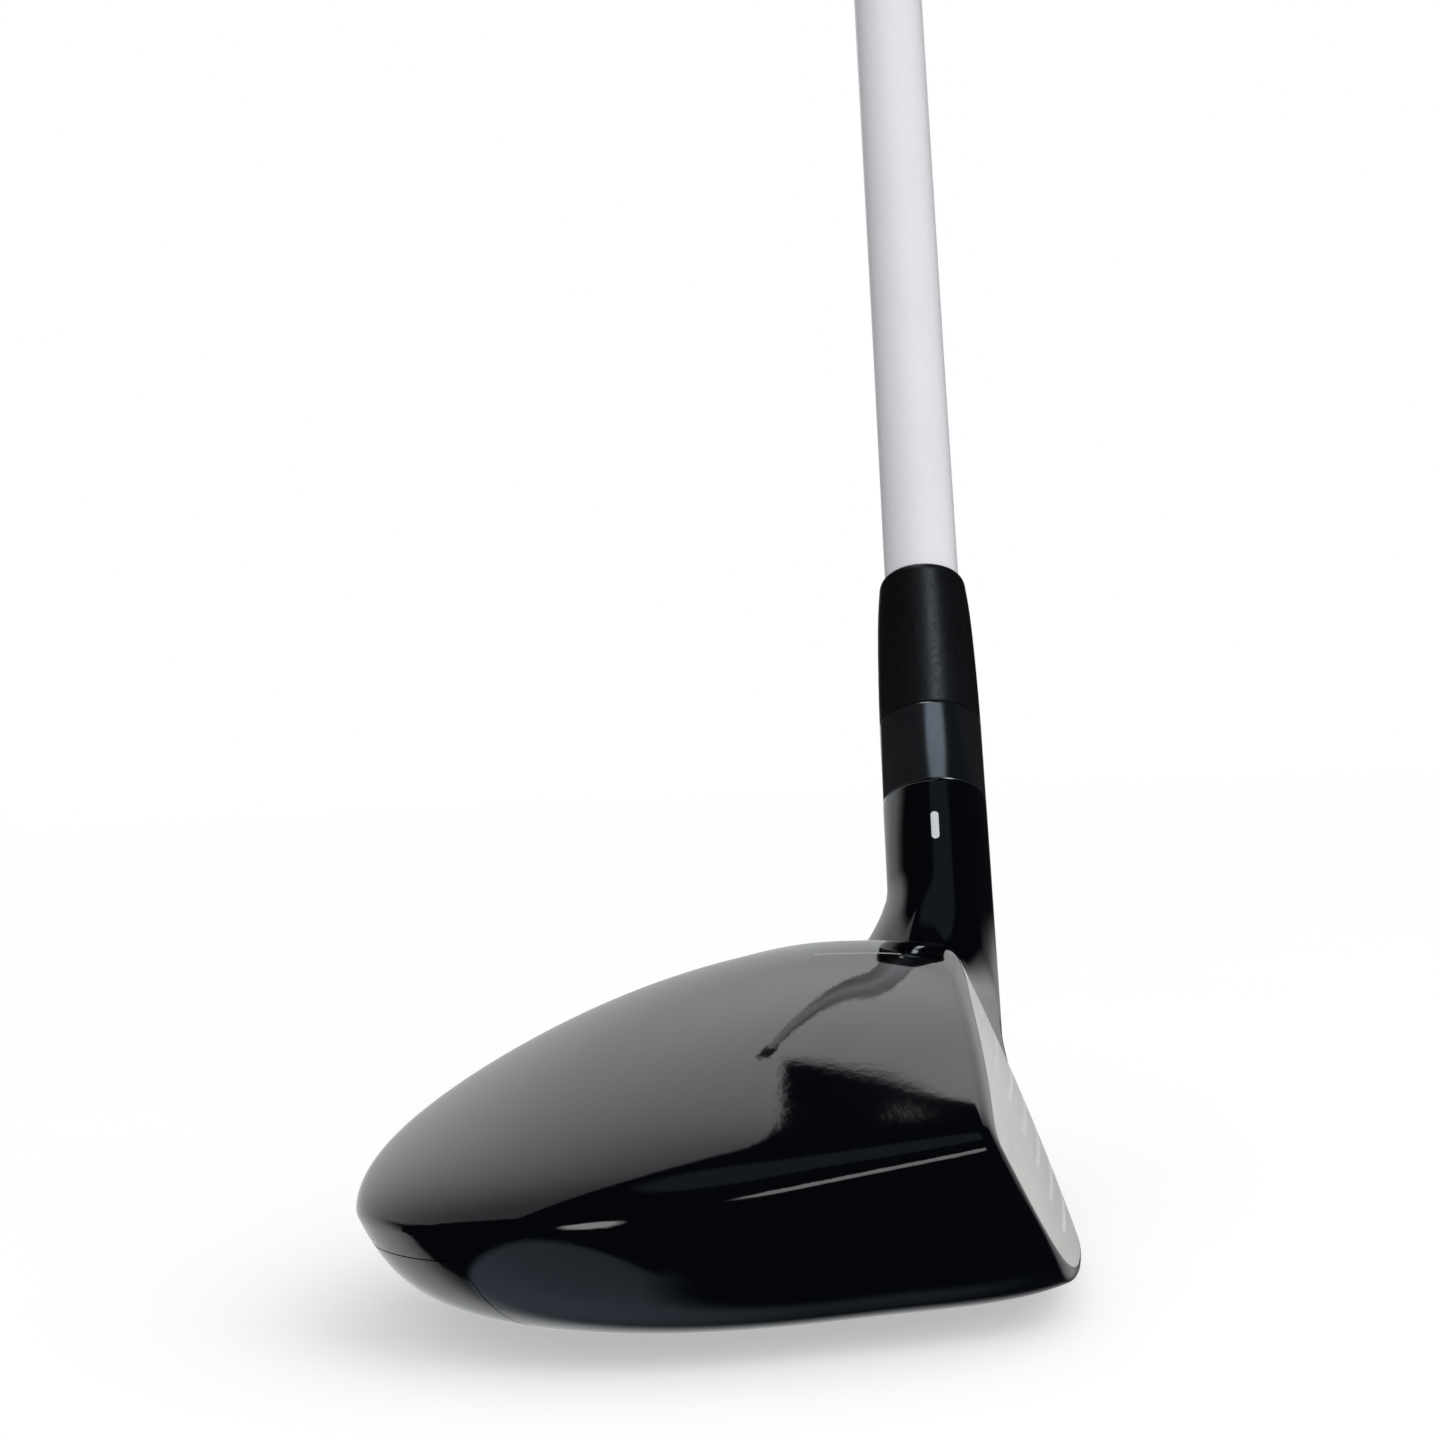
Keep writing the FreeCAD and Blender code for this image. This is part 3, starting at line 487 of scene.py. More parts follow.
def panel_edge(p):
    """Rear sole panel: a sector in plan with a bowed front and rounded corners."""
    x, y = p[:, 0], p[:, 1]
    heel = x * math.sin(PANEL_HEEL) - y * math.cos(PANEL_HEEL)
    toe = -(x * math.sin(PANEL_TOE) - y * math.cos(PANEL_TOE))
    front = PANEL_FRONT + PANEL_BOW * (x - PANEL_MID_X) ** 2 - y
    edge = round_both(heel, toe, 3.0)
    edge = round_both(edge, front, 4.0)
    return round_both(edge, rim_edge(p, PANEL_SHARE), 2.0)


def crown_edge(p):
    return round_both(rim_edge(p, CROWN_SHARE), CROWN_FRONT - p[:, 1], 2.5)


def above_middle(p):
    """Height over the surface that swells from the ground out to the rim."""
    share, _, rim = plan(p[:, 0], p[:, 1])
    return p[:, 2] - rim * share * share


# name: edge function, and the zone of the skin where it counts; earlier regions win
REGIONS = {
    "tube": (tube_edge, lambda p: axis_place(p)[1] < 14),
    "face": (face_edge, lambda p: face_distance(*p.T) > -0.6),
    "port": (port_edge, lambda p: axis_place(p)[0] < 12),
    "recess": (recess_edge, lambda p: p[:, 2] < 6),
    "panel": (panel_edge, lambda p: above_middle(p) < 0),
    "crown": (crown_edge, lambda p: above_middle(p) > 0.5),
}
NUMBER = {name: i for i, name in enumerate(REGIONS, start=1)}

label = np.zeros(len(skin_q), int)      # 0 is left for the casting
for name, (edge, zone) in REGIONS.items():
    near = np.where((np.abs(edge(skin_v)) < 0.45 * CELL) & zone(skin_v))[0]
    skin_v[near] = settle_on_edge(edge, skin_v[near], 4)
    middle = skin_v[skin_q].mean(1)
    label[(edge(middle) < 0) & zone(middle) & (label == 0)] = NUMBER[name]

# each region's border settles on its own curve, unless an earlier region holds it
for name, (edge, zone) in REGIONS.items():
    number = NUMBER[name]
    border = np.intersect1d(skin_q[label == number], skin_q[label != number])
    border = np.setdiff1d(border, skin_q[(label > 0) & (label < number)])
    if len(border):
        skin_v[border] = settle_on_edge(edge, skin_v[border], 8)
skin_n = unit(slope_of(head_at, skin_v, 0.006))

# the boss ring round the weight belongs to the casting, the rest of the region to the panel
is_panel = label == NUMBER["panel"]
on_boss = is_panel & (boss_edge(skin_v[skin_q].mean(1)) < 0)
border = np.intersect1d(skin_q[on_boss], skin_q[is_panel & ~on_boss])
skin_v[border] = settle_on_edge(boss_edge, skin_v[border], 8)
is_panel &= ~on_boss

# ------------------------------------------------------------------ shells cut from the skin
CASTING_THICK, PANEL_THICK, CROWN_THICK = 0.6, 0.8, 0.8
SEAM = 0.16                             # the panel steps back this far from the casting
LEAN = 0.3                              # how much of the spread inside a bore is kept


def push(r, least, start):
    """Share by which a radius grows so that it is at least `least` from `start` on."""
    return ((least + LEAN * (r - start)) / r - 1)[:, None]


def clear_bores(p):
    """Keeps the inner surface out of the port and the recess, whose walls lean to the sole."""
    along, r = axis_place(p)
    tight = (along < 15) & (r < 5.343)
    out = p[tight] - FOOT - along[tight, None] * AXIS
    p[tight] += out * push(r[tight], least=5.0, start=4.2)
    out = p[:, :2] - WEIGHT_AT[:2]
    r = np.hypot(out[:, 0], out[:, 1])
    tight = (p[:, 2] < 8) & (r > 7.0) & (r < 8.586)
    p[tight, :2] += out[tight] * push(r[tight], least=8.35, start=7.8)
    return p


def radial(p, foot, axis, radius, level):
    """Points moved square to an axis to a radius, and along it to a level."""
    q = p - foot
    out = unit(q - (q @ axis)[:, None] * axis)
    return foot + out * radius + axis * level


def on_rim(name):
    edge, zone = REGIONS[name]
    return lambda p: (np.abs(edge(p)) < 0.05) & zone(p)


# bore walls: test for border points, foot and axis of the bore, (radius, level) of its rings
PORT_WALL = (on_rim("port"), FOOT, AXIS, ((PORT_R, 13.5), (5.3, 13.5)))
RECESS_WALL = (on_rim("recess"), WEIGHT_FOOT, UP,
               ((RECESS_R, 6.75), (4.05, 6.75), (4.05, 13.0), (10.4, 13.0)))
PLAIN_WALL = (lambda p: np.ones(len(p), bool), FOOT, AXIS, ())


def shell(name, quads, spots, depth, walls=()):
    """Closed shell from a patch of the skin. Border points that pass a wall's test run
    through its rings on their way from the outer to the inner surface."""
    used, local = np.unique(quads, return_inverse=True)
    quads = local.reshape(-1, 4)
    outer, n = spots[used], skin_n[used]
    count = len(used)
    start, end = quads.reshape(-1), np.roll(quads, -1, axis=1).reshape(-1)
    is_open = ~np.isin(start * count + end, end * count + start)
    border = np.stack([start, end], 1)[is_open]
    verts = [outer, clear_bores(outer - n * depth)]
    total = 2 * count
    wall_quads = []
    done = np.zeros(len(border), bool)
    for test, foot, axis, rings in (*walls, PLAIN_WALL):
        mine = ~done & test(outer[border[:, 0]]) & test(outer[border[:, 1]])
        done |= mine
        edges = border[mine]
        if not len(edges):
            continue
        ids = np.unique(edges)
        layers = [ids]
        for radius, level in rings:
            verts.append(radial(outer[ids], foot, axis, radius, level))
            layers.append(np.arange(total, total + len(ids)))
            total += len(ids)
        layers.append(ids + count)
        a, b = np.searchsorted(ids, edges).T
        for upper, lower in zip(layers[:-1], layers[1:]):
            wall_quads.append(np.stack([upper[b], upper[a], lower[a], lower[b]], 1))
    verts = np.concatenate(verts)
    wall_quads = np.concatenate(wall_quads)
    normals = np.concatenate([n[quads], -n[quads][:, ::-1], flat_normals(verts, wall_quads)])
    return make_object(name, verts, np.concatenate([quads, (quads + count)[:, ::-1], wall_quads]),
                       normals.reshape(-1, 3))


def panel_spots(quads):
    """Skin points with the panel's border stepped back to leave an open seam."""
    rim = np.intersect1d(quads, skin_q[~is_panel])
    p, n = skin_v[rim], skin_n[rim]
    on_outline = np.abs(panel_edge(p)) < 0.1
    out = np.where(on_outline[:, None], slope_of(panel_edge, p), -slope_of(boss_edge, p))
    out -= (out * n).sum(1)[:, None] * n
    spots = skin_v.copy()
    spots[rim] = p - unit(out) * SEAM
    return spots


casting = shell("body_casting_skin", skin_q[(label == 0) | on_boss], skin_v, CASTING_THICK,
                [PORT_WALL, RECESS_WALL])
panel = shell("sole_panel_skin", skin_q[is_panel], panel_spots(skin_q[is_panel]), PANEL_THICK)
crown = shell("crown_skin", skin_q[label == NUMBER["crown"]], skin_v, CROWN_THICK)

# plain hosel tube with its bore, which continues the casting's skin
TUBE_EDGE, BORE_EDGE = 0.3, 0.25
SEAT_R, SEAT_LOW, SEAT_HIGH = 2.8, 16.7, 17.2
hosel = lathe("hosel_tube", [
    (HOSEL_R, TUBE_START), (HOSEL_R, TUBE_START + 4), (HOSEL_R, HOSEL_TOP - TUBE_EDGE),
    *quarter(HOSEL_R - TUBE_EDGE, HOSEL_TOP - TUBE_EDGE, TUBE_EDGE, start=0),
    (BORE_R + BORE_EDGE, HOSEL_TOP), (BORE_R, HOSEL_TOP - BORE_EDGE),
    (BORE_R, SEAT_HIGH), (SEAT_R, SEAT_HIGH), (SEAT_R, SEAT_LOW),
    (BORE_R + BORE_EDGE, SEAT_LOW), (BORE_R + BORE_EDGE, TUBE_START)], seg=192)
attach(hosel, "head")
enlist(casting, "head", "body_paint", "body_casting")
enlist(crown, "head", "crown_paint", "crown_shell")
enlist(panel, "head", "sole_paint", "sole_panel")

# ------------------------------------------------------------------ face with its score lines
GROOVE_TOP, GROOVE_PITCH, GROOVES = 26.4, 3.45, 6
GROOVE_Z = GROOVE_TOP - np.arange(GROOVES) * GROOVE_PITCH
GROOVE_TOE, GROOVE_HEEL = -25.0, 21.0
GROOVE_HALF, GROOVE_WALL, GROOVE_DEEP = 0.43, 0.19, 0.30
GROOVE_RUNOUT = 0.45                    # length of the ramp at each end
PAINT_DEEP = 0.12                       # quads deeper than this take the groove paint
FACE_THICK = 2.2
FACE_COLS = 420
ROW_STEP = 0.45                         # plain spacing of the rows of points
# extra rows: in from the top and bottom edges, and across each groove
EDGE_ROWS = np.array([0, 0.02, 0.06, 0.12, 0.2, 0.3])
GROOVE_ROWS = np.array([-0.5, -0.43, -0.38, -0.24, -0.12, 0, 0.12, 0.24, 0.38, 0.43, 0.5])
GROOVE_CLEAR = 0.55                     # plain rows keep this far from a groove's middle


def face_point(x, z, inward=0.0):
    return np.stack([x, face_y(x, z) + inward * face_grade(x, z), z], -1)


def on_face(x, z):
    return face_edge(face_point(x, z).reshape(-1, 3)).reshape(x.shape) < 0


def last_inside(test, inner, outer):
    """Border between inner, which passes the test, and outer, by bisection."""
    for _ in range(50):
        mid = 0.5 * (inner + outer)
        good = test(mid)
        inner, outer = np.where(good, mid, inner), np.where(good, outer, mid)
    return inner


def face_rows():
    """Heights of the rows of points."""
    x = np.linspace(-30, 26, 57)

    def border_z(outer):
        return last_inside(lambda z: on_face(x, z), np.full(len(x), 15.0), np.full(len(x), outer))

    top, bottom = border_z(42.0).max() - 0.01, border_z(-3.0).min() + 0.01
    plain = np.concatenate([np.round(np.arange(bottom, top, ROW_STEP), 3),
                            np.round(top - EDGE_ROWS, 4), np.round(bottom + EDGE_ROWS, 4)])
    plain = plain[(np.abs(plain[:, None] - GROOVE_Z) > GROOVE_CLEAR).all(1)]
    return np.unique(np.concatenate([plain, np.round(GROOVE_Z[:, None] + GROOVE_ROWS, 4).ravel()]))


def face_spans(z):
    """Rows that cross the face, with their toe and heel ends."""
    xs = np.linspace(-48, 30, 391)
    step = 0.2
    inside = on_face(*np.meshgrid(xs, z, indexing="ij"))
    crosses = inside.any(0)
    z, inside = z[crosses], inside[:, crosses]
    toe = xs[np.argmax(inside, axis=0)]
    heel = xs[len(xs) - 1 - np.argmax(inside[::-1], axis=0)]
    toe, heel = [last_inside(lambda x: on_face(x, z), x0, x1)
                 for x0, x1 in ((toe, toe - step), (heel, heel + step))]
    return z, toe, heel


def groove_depth(x, z):
    ends = (np.clip((x - GROOVE_TOE) / GROOVE_RUNOUT, 0, 1)
            * np.clip((GROOVE_HEEL - x) / GROOVE_RUNOUT, 0, 1))
    depth = np.zeros_like(x)
    for centre in GROOVE_Z:
        t = np.clip((GROOVE_HALF - np.abs(z - centre)) / GROOVE_WALL, 0, 1)
        depth = np.maximum(depth, smoothstep(t) * ends)
    return depth * GROOVE_DEEP


def scored_point(x, z):
    return face_point(x, z, groove_depth(x, z))


def make_face():
    z, toe, heel = face_spans(face_rows())
    x = toe[:, None] + (heel - toe)[:, None] * np.linspace(0, 1, FACE_COLS)[None, :]
    z = np.repeat(z[:, None], FACE_COLS, 1)
    verts = np.concatenate([scored_point(x, z).reshape(-1, 3),
                            face_point(x, z, FACE_THICK).reshape(-1, 3)])
    front, ring, following = sheet(*x.shape)
    back = (front + x.size)[:, ::-1]
    rim = np.stack([ring, ring + x.size, following + x.size, following], 1)
    e = 0.02
    outward = unit(np.cross(scored_point(x + e, z) - scored_point(x - e, z),
                            scored_point(x, z + e) - scored_point(x, z - e))).reshape(-1, 3)
    normals = np.concatenate([outward[front], -outward[front][:, ::-1], flat_normals(verts, rim)])
    painted = groove_depth(x, z).ravel()[front].mean(1) > PAINT_DEEP
    slots = np.concatenate([painted.astype(int), np.zeros(len(back) + len(rim), int)])
    return make_object("face_plate_scored", verts, np.concatenate([front, back, rim]),
                       normals.reshape(-1, 3), slots)


face = make_face()
enlist(face, "head", "face_steel", "face_plate")

# ------------------------------------------------------------------ band, ferrule, shaft
BAND_R, BAND_BORE_R, BAND_EDGE, BAND_GAP = 6.65, 5.74, 0.22, 0.02
band = lathe("index_band", [
    (BAND_BORE_R, RING_LOW + BAND_GAP), (6.30, RING_LOW + BAND_GAP),
    *quarter(BAND_R - BAND_EDGE, RING_LOW + BAND_GAP + BAND_EDGE, BAND_EDGE, start=-90),
    *quarter(BAND_R - BAND_EDGE, RING_HIGH - BAND_GAP - BAND_EDGE, BAND_EDGE, start=0),
    (BAND_BORE_R, RING_HIGH - BAND_GAP)], seg=192)
enlist(band, "ring", "ring_metal", "index_ring")

FERRULE_R, FERRULE_EDGE = 6.62, 0.12
FERRULE_BORE_R, FERRULE_LIP_R = 4.985, 5.06
SOCKET_R, SOCKET_DEEP = 6.12, 2.05      # wider mouth at the ferrule's lower end
FERRULE_SIDE = 20.6                     # height of the tapered side below the shoulder
# height above the lower end, loss of radius
FERRULE_TAPER = ((0, 0.0), (3, 0.02), (6, 0.08), (10, 0.18),
                 (14.5, 0.34), (17.5, 0.50), (19.6, 0.68), (20.9, 0.86))


def ferrule_profile():
    height = np.linspace(0, FERRULE_SIDE, 60)
    radius = FERRULE_R - from_table(height, FERRULE_TAPER)
    for _ in range(40):
        radius[1:-1] = 0.25 * radius[:-2] + 0.5 * radius[1:-1] + 0.25 * radius[2:]
    low = FERRULE_LOW + 0.01
    profile = [(SOCKET_R, low), (FERRULE_R - FERRULE_EDGE, low), (FERRULE_R, low + FERRULE_EDGE)]
    profile += [(r, FERRULE_LOW + h) for r, h in zip(radius[1:], height[1:])]
    side_top = FERRULE_LOW + FERRULE_SIDE
    for i in range(1, 11):
        a = math.radians(90 * i / 10)
        profile.append((FERRULE_LIP_R + (radius[-1] - FERRULE_LIP_R) * math.cos(a),
                        side_top + (FERRULE_HIGH - side_top) * math.sin(a)))
    return profile + [(FERRULE_BORE_R, FERRULE_HIGH), (FERRULE_BORE_R, FERRULE_LOW + SOCKET_DEEP),
                      (SOCKET_R, FERRULE_LOW + SOCKET_DEEP)]


ferrule = lathe("ferrule_turned", ferrule_profile(), seg=192)
enlist(ferrule, "shaft_assembly", "ferrule_plastic", "ferrule")

SHAFT_WALL = 1.15
# station, radius
SHAFT_TAPER = ((SHAFT_LOW, 4.70), (74.0, 4.70), (88.0, 4.956), (131.0, 4.956),
               (171.0, 5.05), (SHAFT_HIGH, 7.62))


def shaft_radius(s):
    return from_table(s, SHAFT_TAPER)


def shaft_profile():
    stations = np.concatenate([np.linspace(SHAFT_LOW + 0.3, 88, 16),
                               np.linspace(89, SHAFT_HIGH - 0.2, 220)])
    outer = [(shaft_radius(s), s) for s in stations]
    inner = [(shaft_radius(s) - SHAFT_WALL, s) for s in stations[::-12]]
    return ([(3.55, SHAFT_LOW), (4.5, SHAFT_LOW)] + outer
            + [(7.4, SHAFT_HIGH), (6.5, SHAFT_HIGH)] + inner)


shaft = lathe("shaft_tube", shaft_profile())
enlist(shaft, "shaft_assembly", "shaft_paint", "shaft")

# ------------------------------------------------------------------ grip and its cap
GRIP_ROWS = 1050
GRIP_SEG = 320
GRIP_SMOOTH = 14                        # length over which the taper is smoothed
GRIP_CLEAR = 0.17                       # gap between bore and shaft
# station, radius
GRIP_TAPER = ((GRIP_LOW, 8.9), (GRIP_LOW + 0.8, 9.3), (GRIP_LOW + 5, 9.4), (GRIP_LOW + 12, 9.8),
              (GRIP_HIGH - 45, 13.2), (GRIP_HIGH - 8, 13.9), (GRIP_HIGH - 2, 14.6),
              (GRIP_HIGH, 14.8))
TREAD_PITCH, TREAD_STARTS = 7.0, 16     # helical grooves: rise of one, number round the grip
TREAD_DEEP, RING_DEEP, PIP_TALL = 0.42, 0.35, 0.12
BAND_AT = (GRIP_LOW + 84, GRIP_LOW + 170)   # plain bands between the treads
# plain ring grooves: two near each end and a pair on each band
RINGS_AT = [GRIP_LOW + 15, GRIP_LOW + 18, GRIP_HIGH - 15, GRIP_HIGH - 18]
RINGS_AT += [band_at + side * 1.6 for band_at in BAND_AT for side in (-1, 1)]


def ramp(x, low, high):
    return smoothstep(np.clip((x - low) / (high - low), 0, 1))


def grip_taper(stations):
    radius = from_table(stations, GRIP_TAPER)
    kernel = np.hanning(int(GRIP_ROWS * GRIP_SMOOTH / (GRIP_HIGH - GRIP_LOW)) | 1)
    kernel /= kernel.sum()
    pad = len(kernel) // 2
    extended = np.concatenate([2 * radius[0] - radius[pad:0:-1], radius,
                               2 * radius[-1] - radius[-2:-pad - 2:-1]])
    return np.convolve(extended, kernel, "valid")


def grip_relief(s, angle):
    """Height of the pattern: crossing helical grooves in three bands, with plain rings."""
    tread = ramp(s, GRIP_LOW + 22, GRIP_LOW + 24) * (1 - ramp(s, GRIP_HIGH - 24, GRIP_HIGH - 22))
    for centre in BAND_AT:
        tread *= ramp(np.abs(s - centre), 3.0, 4.2)
    rise, turn = s / TREAD_PITCH, angle * TREAD_STARTS / (2 * math.pi)
    groove, off_centre = np.zeros_like(s), np.zeros_like(s)
    for sign in (1, -1):
        phase = rise + sign * turn
        groove = np.maximum(groove, ramp(np.abs(phase % 1.0 - 0.5) * 2, 0.72, 0.93))
        off_centre = off_centre + ((phase + 0.5) % 1.0 - 0.5) ** 2
    pip = np.maximum(0, 1 - off_centre / 0.035)
    rings = np.zeros_like(s)
    for centre in RINGS_AT:
        rings = np.maximum(rings, 1 - ramp(np.abs(s - centre), 0.35, 0.75))
    return -TREAD_DEEP * groove * tread - RING_DEEP * rings + PIP_TALL * pip * tread


def make_grip():
    """Low bore ring and end ring, the patterned outside, then the high bore ring."""
    fine = np.linspace(GRIP_LOW + 0.4, GRIP_HIGH - 0.05, GRIP_ROWS)
    angle = np.linspace(0, 2 * math.pi, GRIP_SEG, endpoint=False)
    taper = grip_taper(fine)
    outside = taper[:, None] + grip_relief(*np.meshgrid(fine, angle, indexing="ij"))

    def even(radius):
        return np.full((1, GRIP_SEG), radius)

    radii = np.concatenate([even(shaft_radius(GRIP_LOW + 0.05) + GRIP_CLEAR),
                            even(taper[0] - 0.35), outside,
                            even(shaft_radius(GRIP_HIGH - 0.05) + GRIP_CLEAR)])
    stations = np.concatenate([[GRIP_LOW + 0.05, GRIP_LOW + 0.02], fine, [GRIP_HIGH - 0.02]])
    verts = turned(radii, stations, GRIP_SEG).reshape(-1, 3)
    return make_object("grip_tread", verts, torus_quads(len(stations), GRIP_SEG))


grip = make_grip()
enlist(grip, "shaft_assembly", "grip_rubber", "grip")

# radius, height above the cap's lower end
CAP_PROFILE = (
    (1.3, 0), (14.6, 0), (14.8, 0.25), (14.82, 1.4), (14.7, 2.4), (14.35, 3.4), (13.7, 4.3),
    (12.8, 4.95), (12.0, 5.2), (11.7, 5.0), (11.35, 5.05), (11.0, 5.45), (9.0, 5.75),
    (5.6, 5.86), (5.3, 5.6), (4.9, 5.6), (4.6, 5.88), (1.7, 5.9), (1.3, 5.6))
cap = lathe("grip_end_cap", [(r, CAP_LOW + h) for r, h in CAP_PROFILE], sharp=75)
enlist(cap, "shaft_assembly", "cap_rubber", "grip_cap")


# ------------------------------------------------------------------ marks, thin solids on the skin
def patch(name, spots, normals, thick, sunk=0.03):
    """Closed thin sheet from a grid of points and normals."""
    rows, cols = spots.shape[:2]
    verts = np.concatenate([(spots + normals * thick).reshape(-1, 3),
                            (spots - normals * sunk).reshape(-1, 3)])
    top, ring, following = sheet(rows, cols)
    size = rows * cols
    wall = np.stack([ring, following, following + size, ring + size], 1)
    p = verts[top[0]]
    if np.cross(p[1] - p[0], p[3] - p[0]) @ normals[0, 0] < 0:
        top = top[:, ::-1]
    else:
        wall = wall[:, ::-1]
    return make_object(name, verts, np.concatenate([top, (top + size)[:, ::-1], wall]))


def make_tick():
    """Round-ended tick on the toe side of the hosel."""
    middle, angle, length, width = 50.8, math.radians(3.2), 3.9, 1.0
    corner = width / 2
    turn, s = np.meshgrid(np.linspace(-0.5, 0.5, 13) * width / HOSEL_R,
                          middle + np.linspace(-0.5, 0.5, 41) * length, indexing="ij")
    over = np.maximum(np.abs(s - middle) - (length / 2 - corner), 0)
    turn = angle + turn * np.sqrt(np.maximum(1 - (over / corner) ** 2, 0.02))
    out = np.cos(turn)[..., None] * TOEWARD + np.sin(turn)[..., None] * REAR
    return patch("hosel_index_tick", FOOT + AXIS * s[..., None] + out * HOSEL_R, out, thick=0.02)


def make_crown_line():
    """Short line on the crown, front to back."""
    middle_x, front_y, back_y, width = -6.8, -5.0, 4.6, 0.34
    x, y = np.meshgrid(middle_x + np.linspace(-0.5, 0.5, 5) * width,
                       np.linspace(front_y, back_y, 61), indexing="ij")
    spots = np.stack([x.ravel(), y.ravel(), np.full(x.size, 37.0)], 1)
    for _ in range(12):
        spots[:, 2] -= head_at(spots)
    normals = unit(slope_of(head_at, spots))
    return patch("crown_alignment_line", spots.reshape(*x.shape, 3),
                 normals.reshape(*x.shape, 3), thick=0.012)


tick = make_tick()
enlist(tick, "head", "face_steel")
line = make_crown_line()
enlist(line, "head", "face_steel")


# ------------------------------------------------------------------ shader node helpers
class Nodes:
    """Builds nodes in a tree. Any input may be a value or another node's output."""

    def __init__(self, tree):
        self.tree = tree

    def node(self, kind, inputs=None, **props):
        node = self.tree.nodes.new(kind)
        for key, value in props.items():
            setattr(node, key, value)
        for key, value in (inputs or {}).items():
            if isinstance(value, bpy.types.NodeSocket):
                self.tree.links.new(value, node.inputs[key])
            else:
                node.inputs[key].default_value = value
        return node

    def math(self, op, a, b=0.0, c=0.0):
        return self.node("ShaderNodeMath", {0: a, 1: b, 2: c}, operation=op).outputs[0]

    def vector(self, op, a, b=None, scale=None):
        inputs = {0: a}
        if b is not None:
            inputs[1] = b
        if scale is not None:
            inputs[3] = scale
        node = self.node("ShaderNodeVectorMath", inputs, operation=op)
        return node.outputs["Value" if op in ("DOT_PRODUCT", "LENGTH") else "Vector"]

    def remap(self, value, over, to=(0.0, 1.0)):
        """Smooth step from to[0] to to[1] as the value runs over the first pair."""
        return self.node("ShaderNodeMapRange", {
            "Value": value, "From Min": over[0], "From Max": over[1],
            "To Min": to[0], "To Max": to[1]}, interpolation_type="SMOOTHSTEP").outputs[0]

    def times(self, *values):
        return reduce(lambda a, b: self.math("MULTIPLY", a, b), values)

    def plus(self, *values):
        return reduce(lambda a, b: self.math("ADD", a, b), values)

    def flip(self, value):
        return self.math("SUBTRACT", 1.0, value)

    def parts(self, vector):
        return self.node("ShaderNodeSeparateXYZ", {0: vector}).outputs

    def lobe(self, direction, azimuth, elevation, outer, inner, gain):
        """Round glow about a direction: full inside the inner angle, none past the outer."""
        a, e = math.radians(azimuth), math.radians(elevation)
        centre = (math.cos(e) * math.cos(a), math.cos(e) * math.sin(a), math.sin(e))
        cosine = self.vector("DOT_PRODUCT", direction, centre)
        cosine = self.math("MINIMUM", self.math("MAXIMUM", cosine, -1.0), 1.0)
        angle = self.math("MULTIPLY", self.math("ARCCOSINE", cosine), 57.29578)
        return self.remap(angle, over=(inner, outer), to=(gain, 0.0))

    def emission(self, colour, strength):
        return self.node("ShaderNodeEmission", {"Color": colour, "Strength": strength}).outputs[0]

    def background(self, colour, strength):
        return self.node("ShaderNodeBackground", {"Color": colour, "Strength": strength}).outputs[0]

    def mix_shader(self, factor, first, second):
        return self.node("ShaderNodeMixShader", {0: factor, 1: first, 2: second}).outputs[0]


class Surface(Nodes):
    """A node material, with textures in object space."""

    def __init__(self, name):
        self.mat = bpy.data.materials.new(name)
        self.mat.use_nodes = True
        super().__init__(self.mat.node_tree)
        self.tree.nodes.clear()
        self.out = self.node("ShaderNodeOutputMaterial")

    @cached_property
    def coord(self):
        return self.node("ShaderNodeTexCoord").outputs["Object"]

    def noise(self, scale, detail=3.0, rough=0.5, stretch=None):
        """Noise; stretch gives a frequency for each axis."""
        vector = self.vector("MULTIPLY", self.coord, stretch) if stretch else self.coord
        return self.node("ShaderNodeTexNoise", {"Vector": vector, "Scale": scale,
                                                "Detail": detail, "Roughness": rough}).outputs["Fac"]

    def cells(self, scale, output):
        return self.node("ShaderNodeTexVoronoi", {"Vector": self.coord, "Scale": scale},
                         feature="F1").outputs[output]

    def mix(self, factor, first, second):
        return self.node("ShaderNodeMix", {0: factor, 6: first, 7: second},
                         data_type="RGBA").outputs[2]

    def bump(self, height, strength, distance, normal=None):
        inputs = {"Height": height, "Strength": strength, "Distance": distance}
        if normal is not None:
            inputs["Normal"] = normal
        return self.node("ShaderNodeBump", inputs).outputs[0]

    def finish(self, shader):
        self.tree.links.new(shader, self.out.inputs[0])
        return self.mat

    def principled(self, **inputs):
        inputs = {key.replace("_", " "): value for key, value in inputs.items()}
        return self.finish(self.node("ShaderNodeBsdfPrincipled", inputs).outputs[0])


def rgb(r, g, b):
    return (r, g, b, 1.0)


def shade(colour, gain, lift=0.0):
    return rgb(*[c * gain + lift for c in colour])


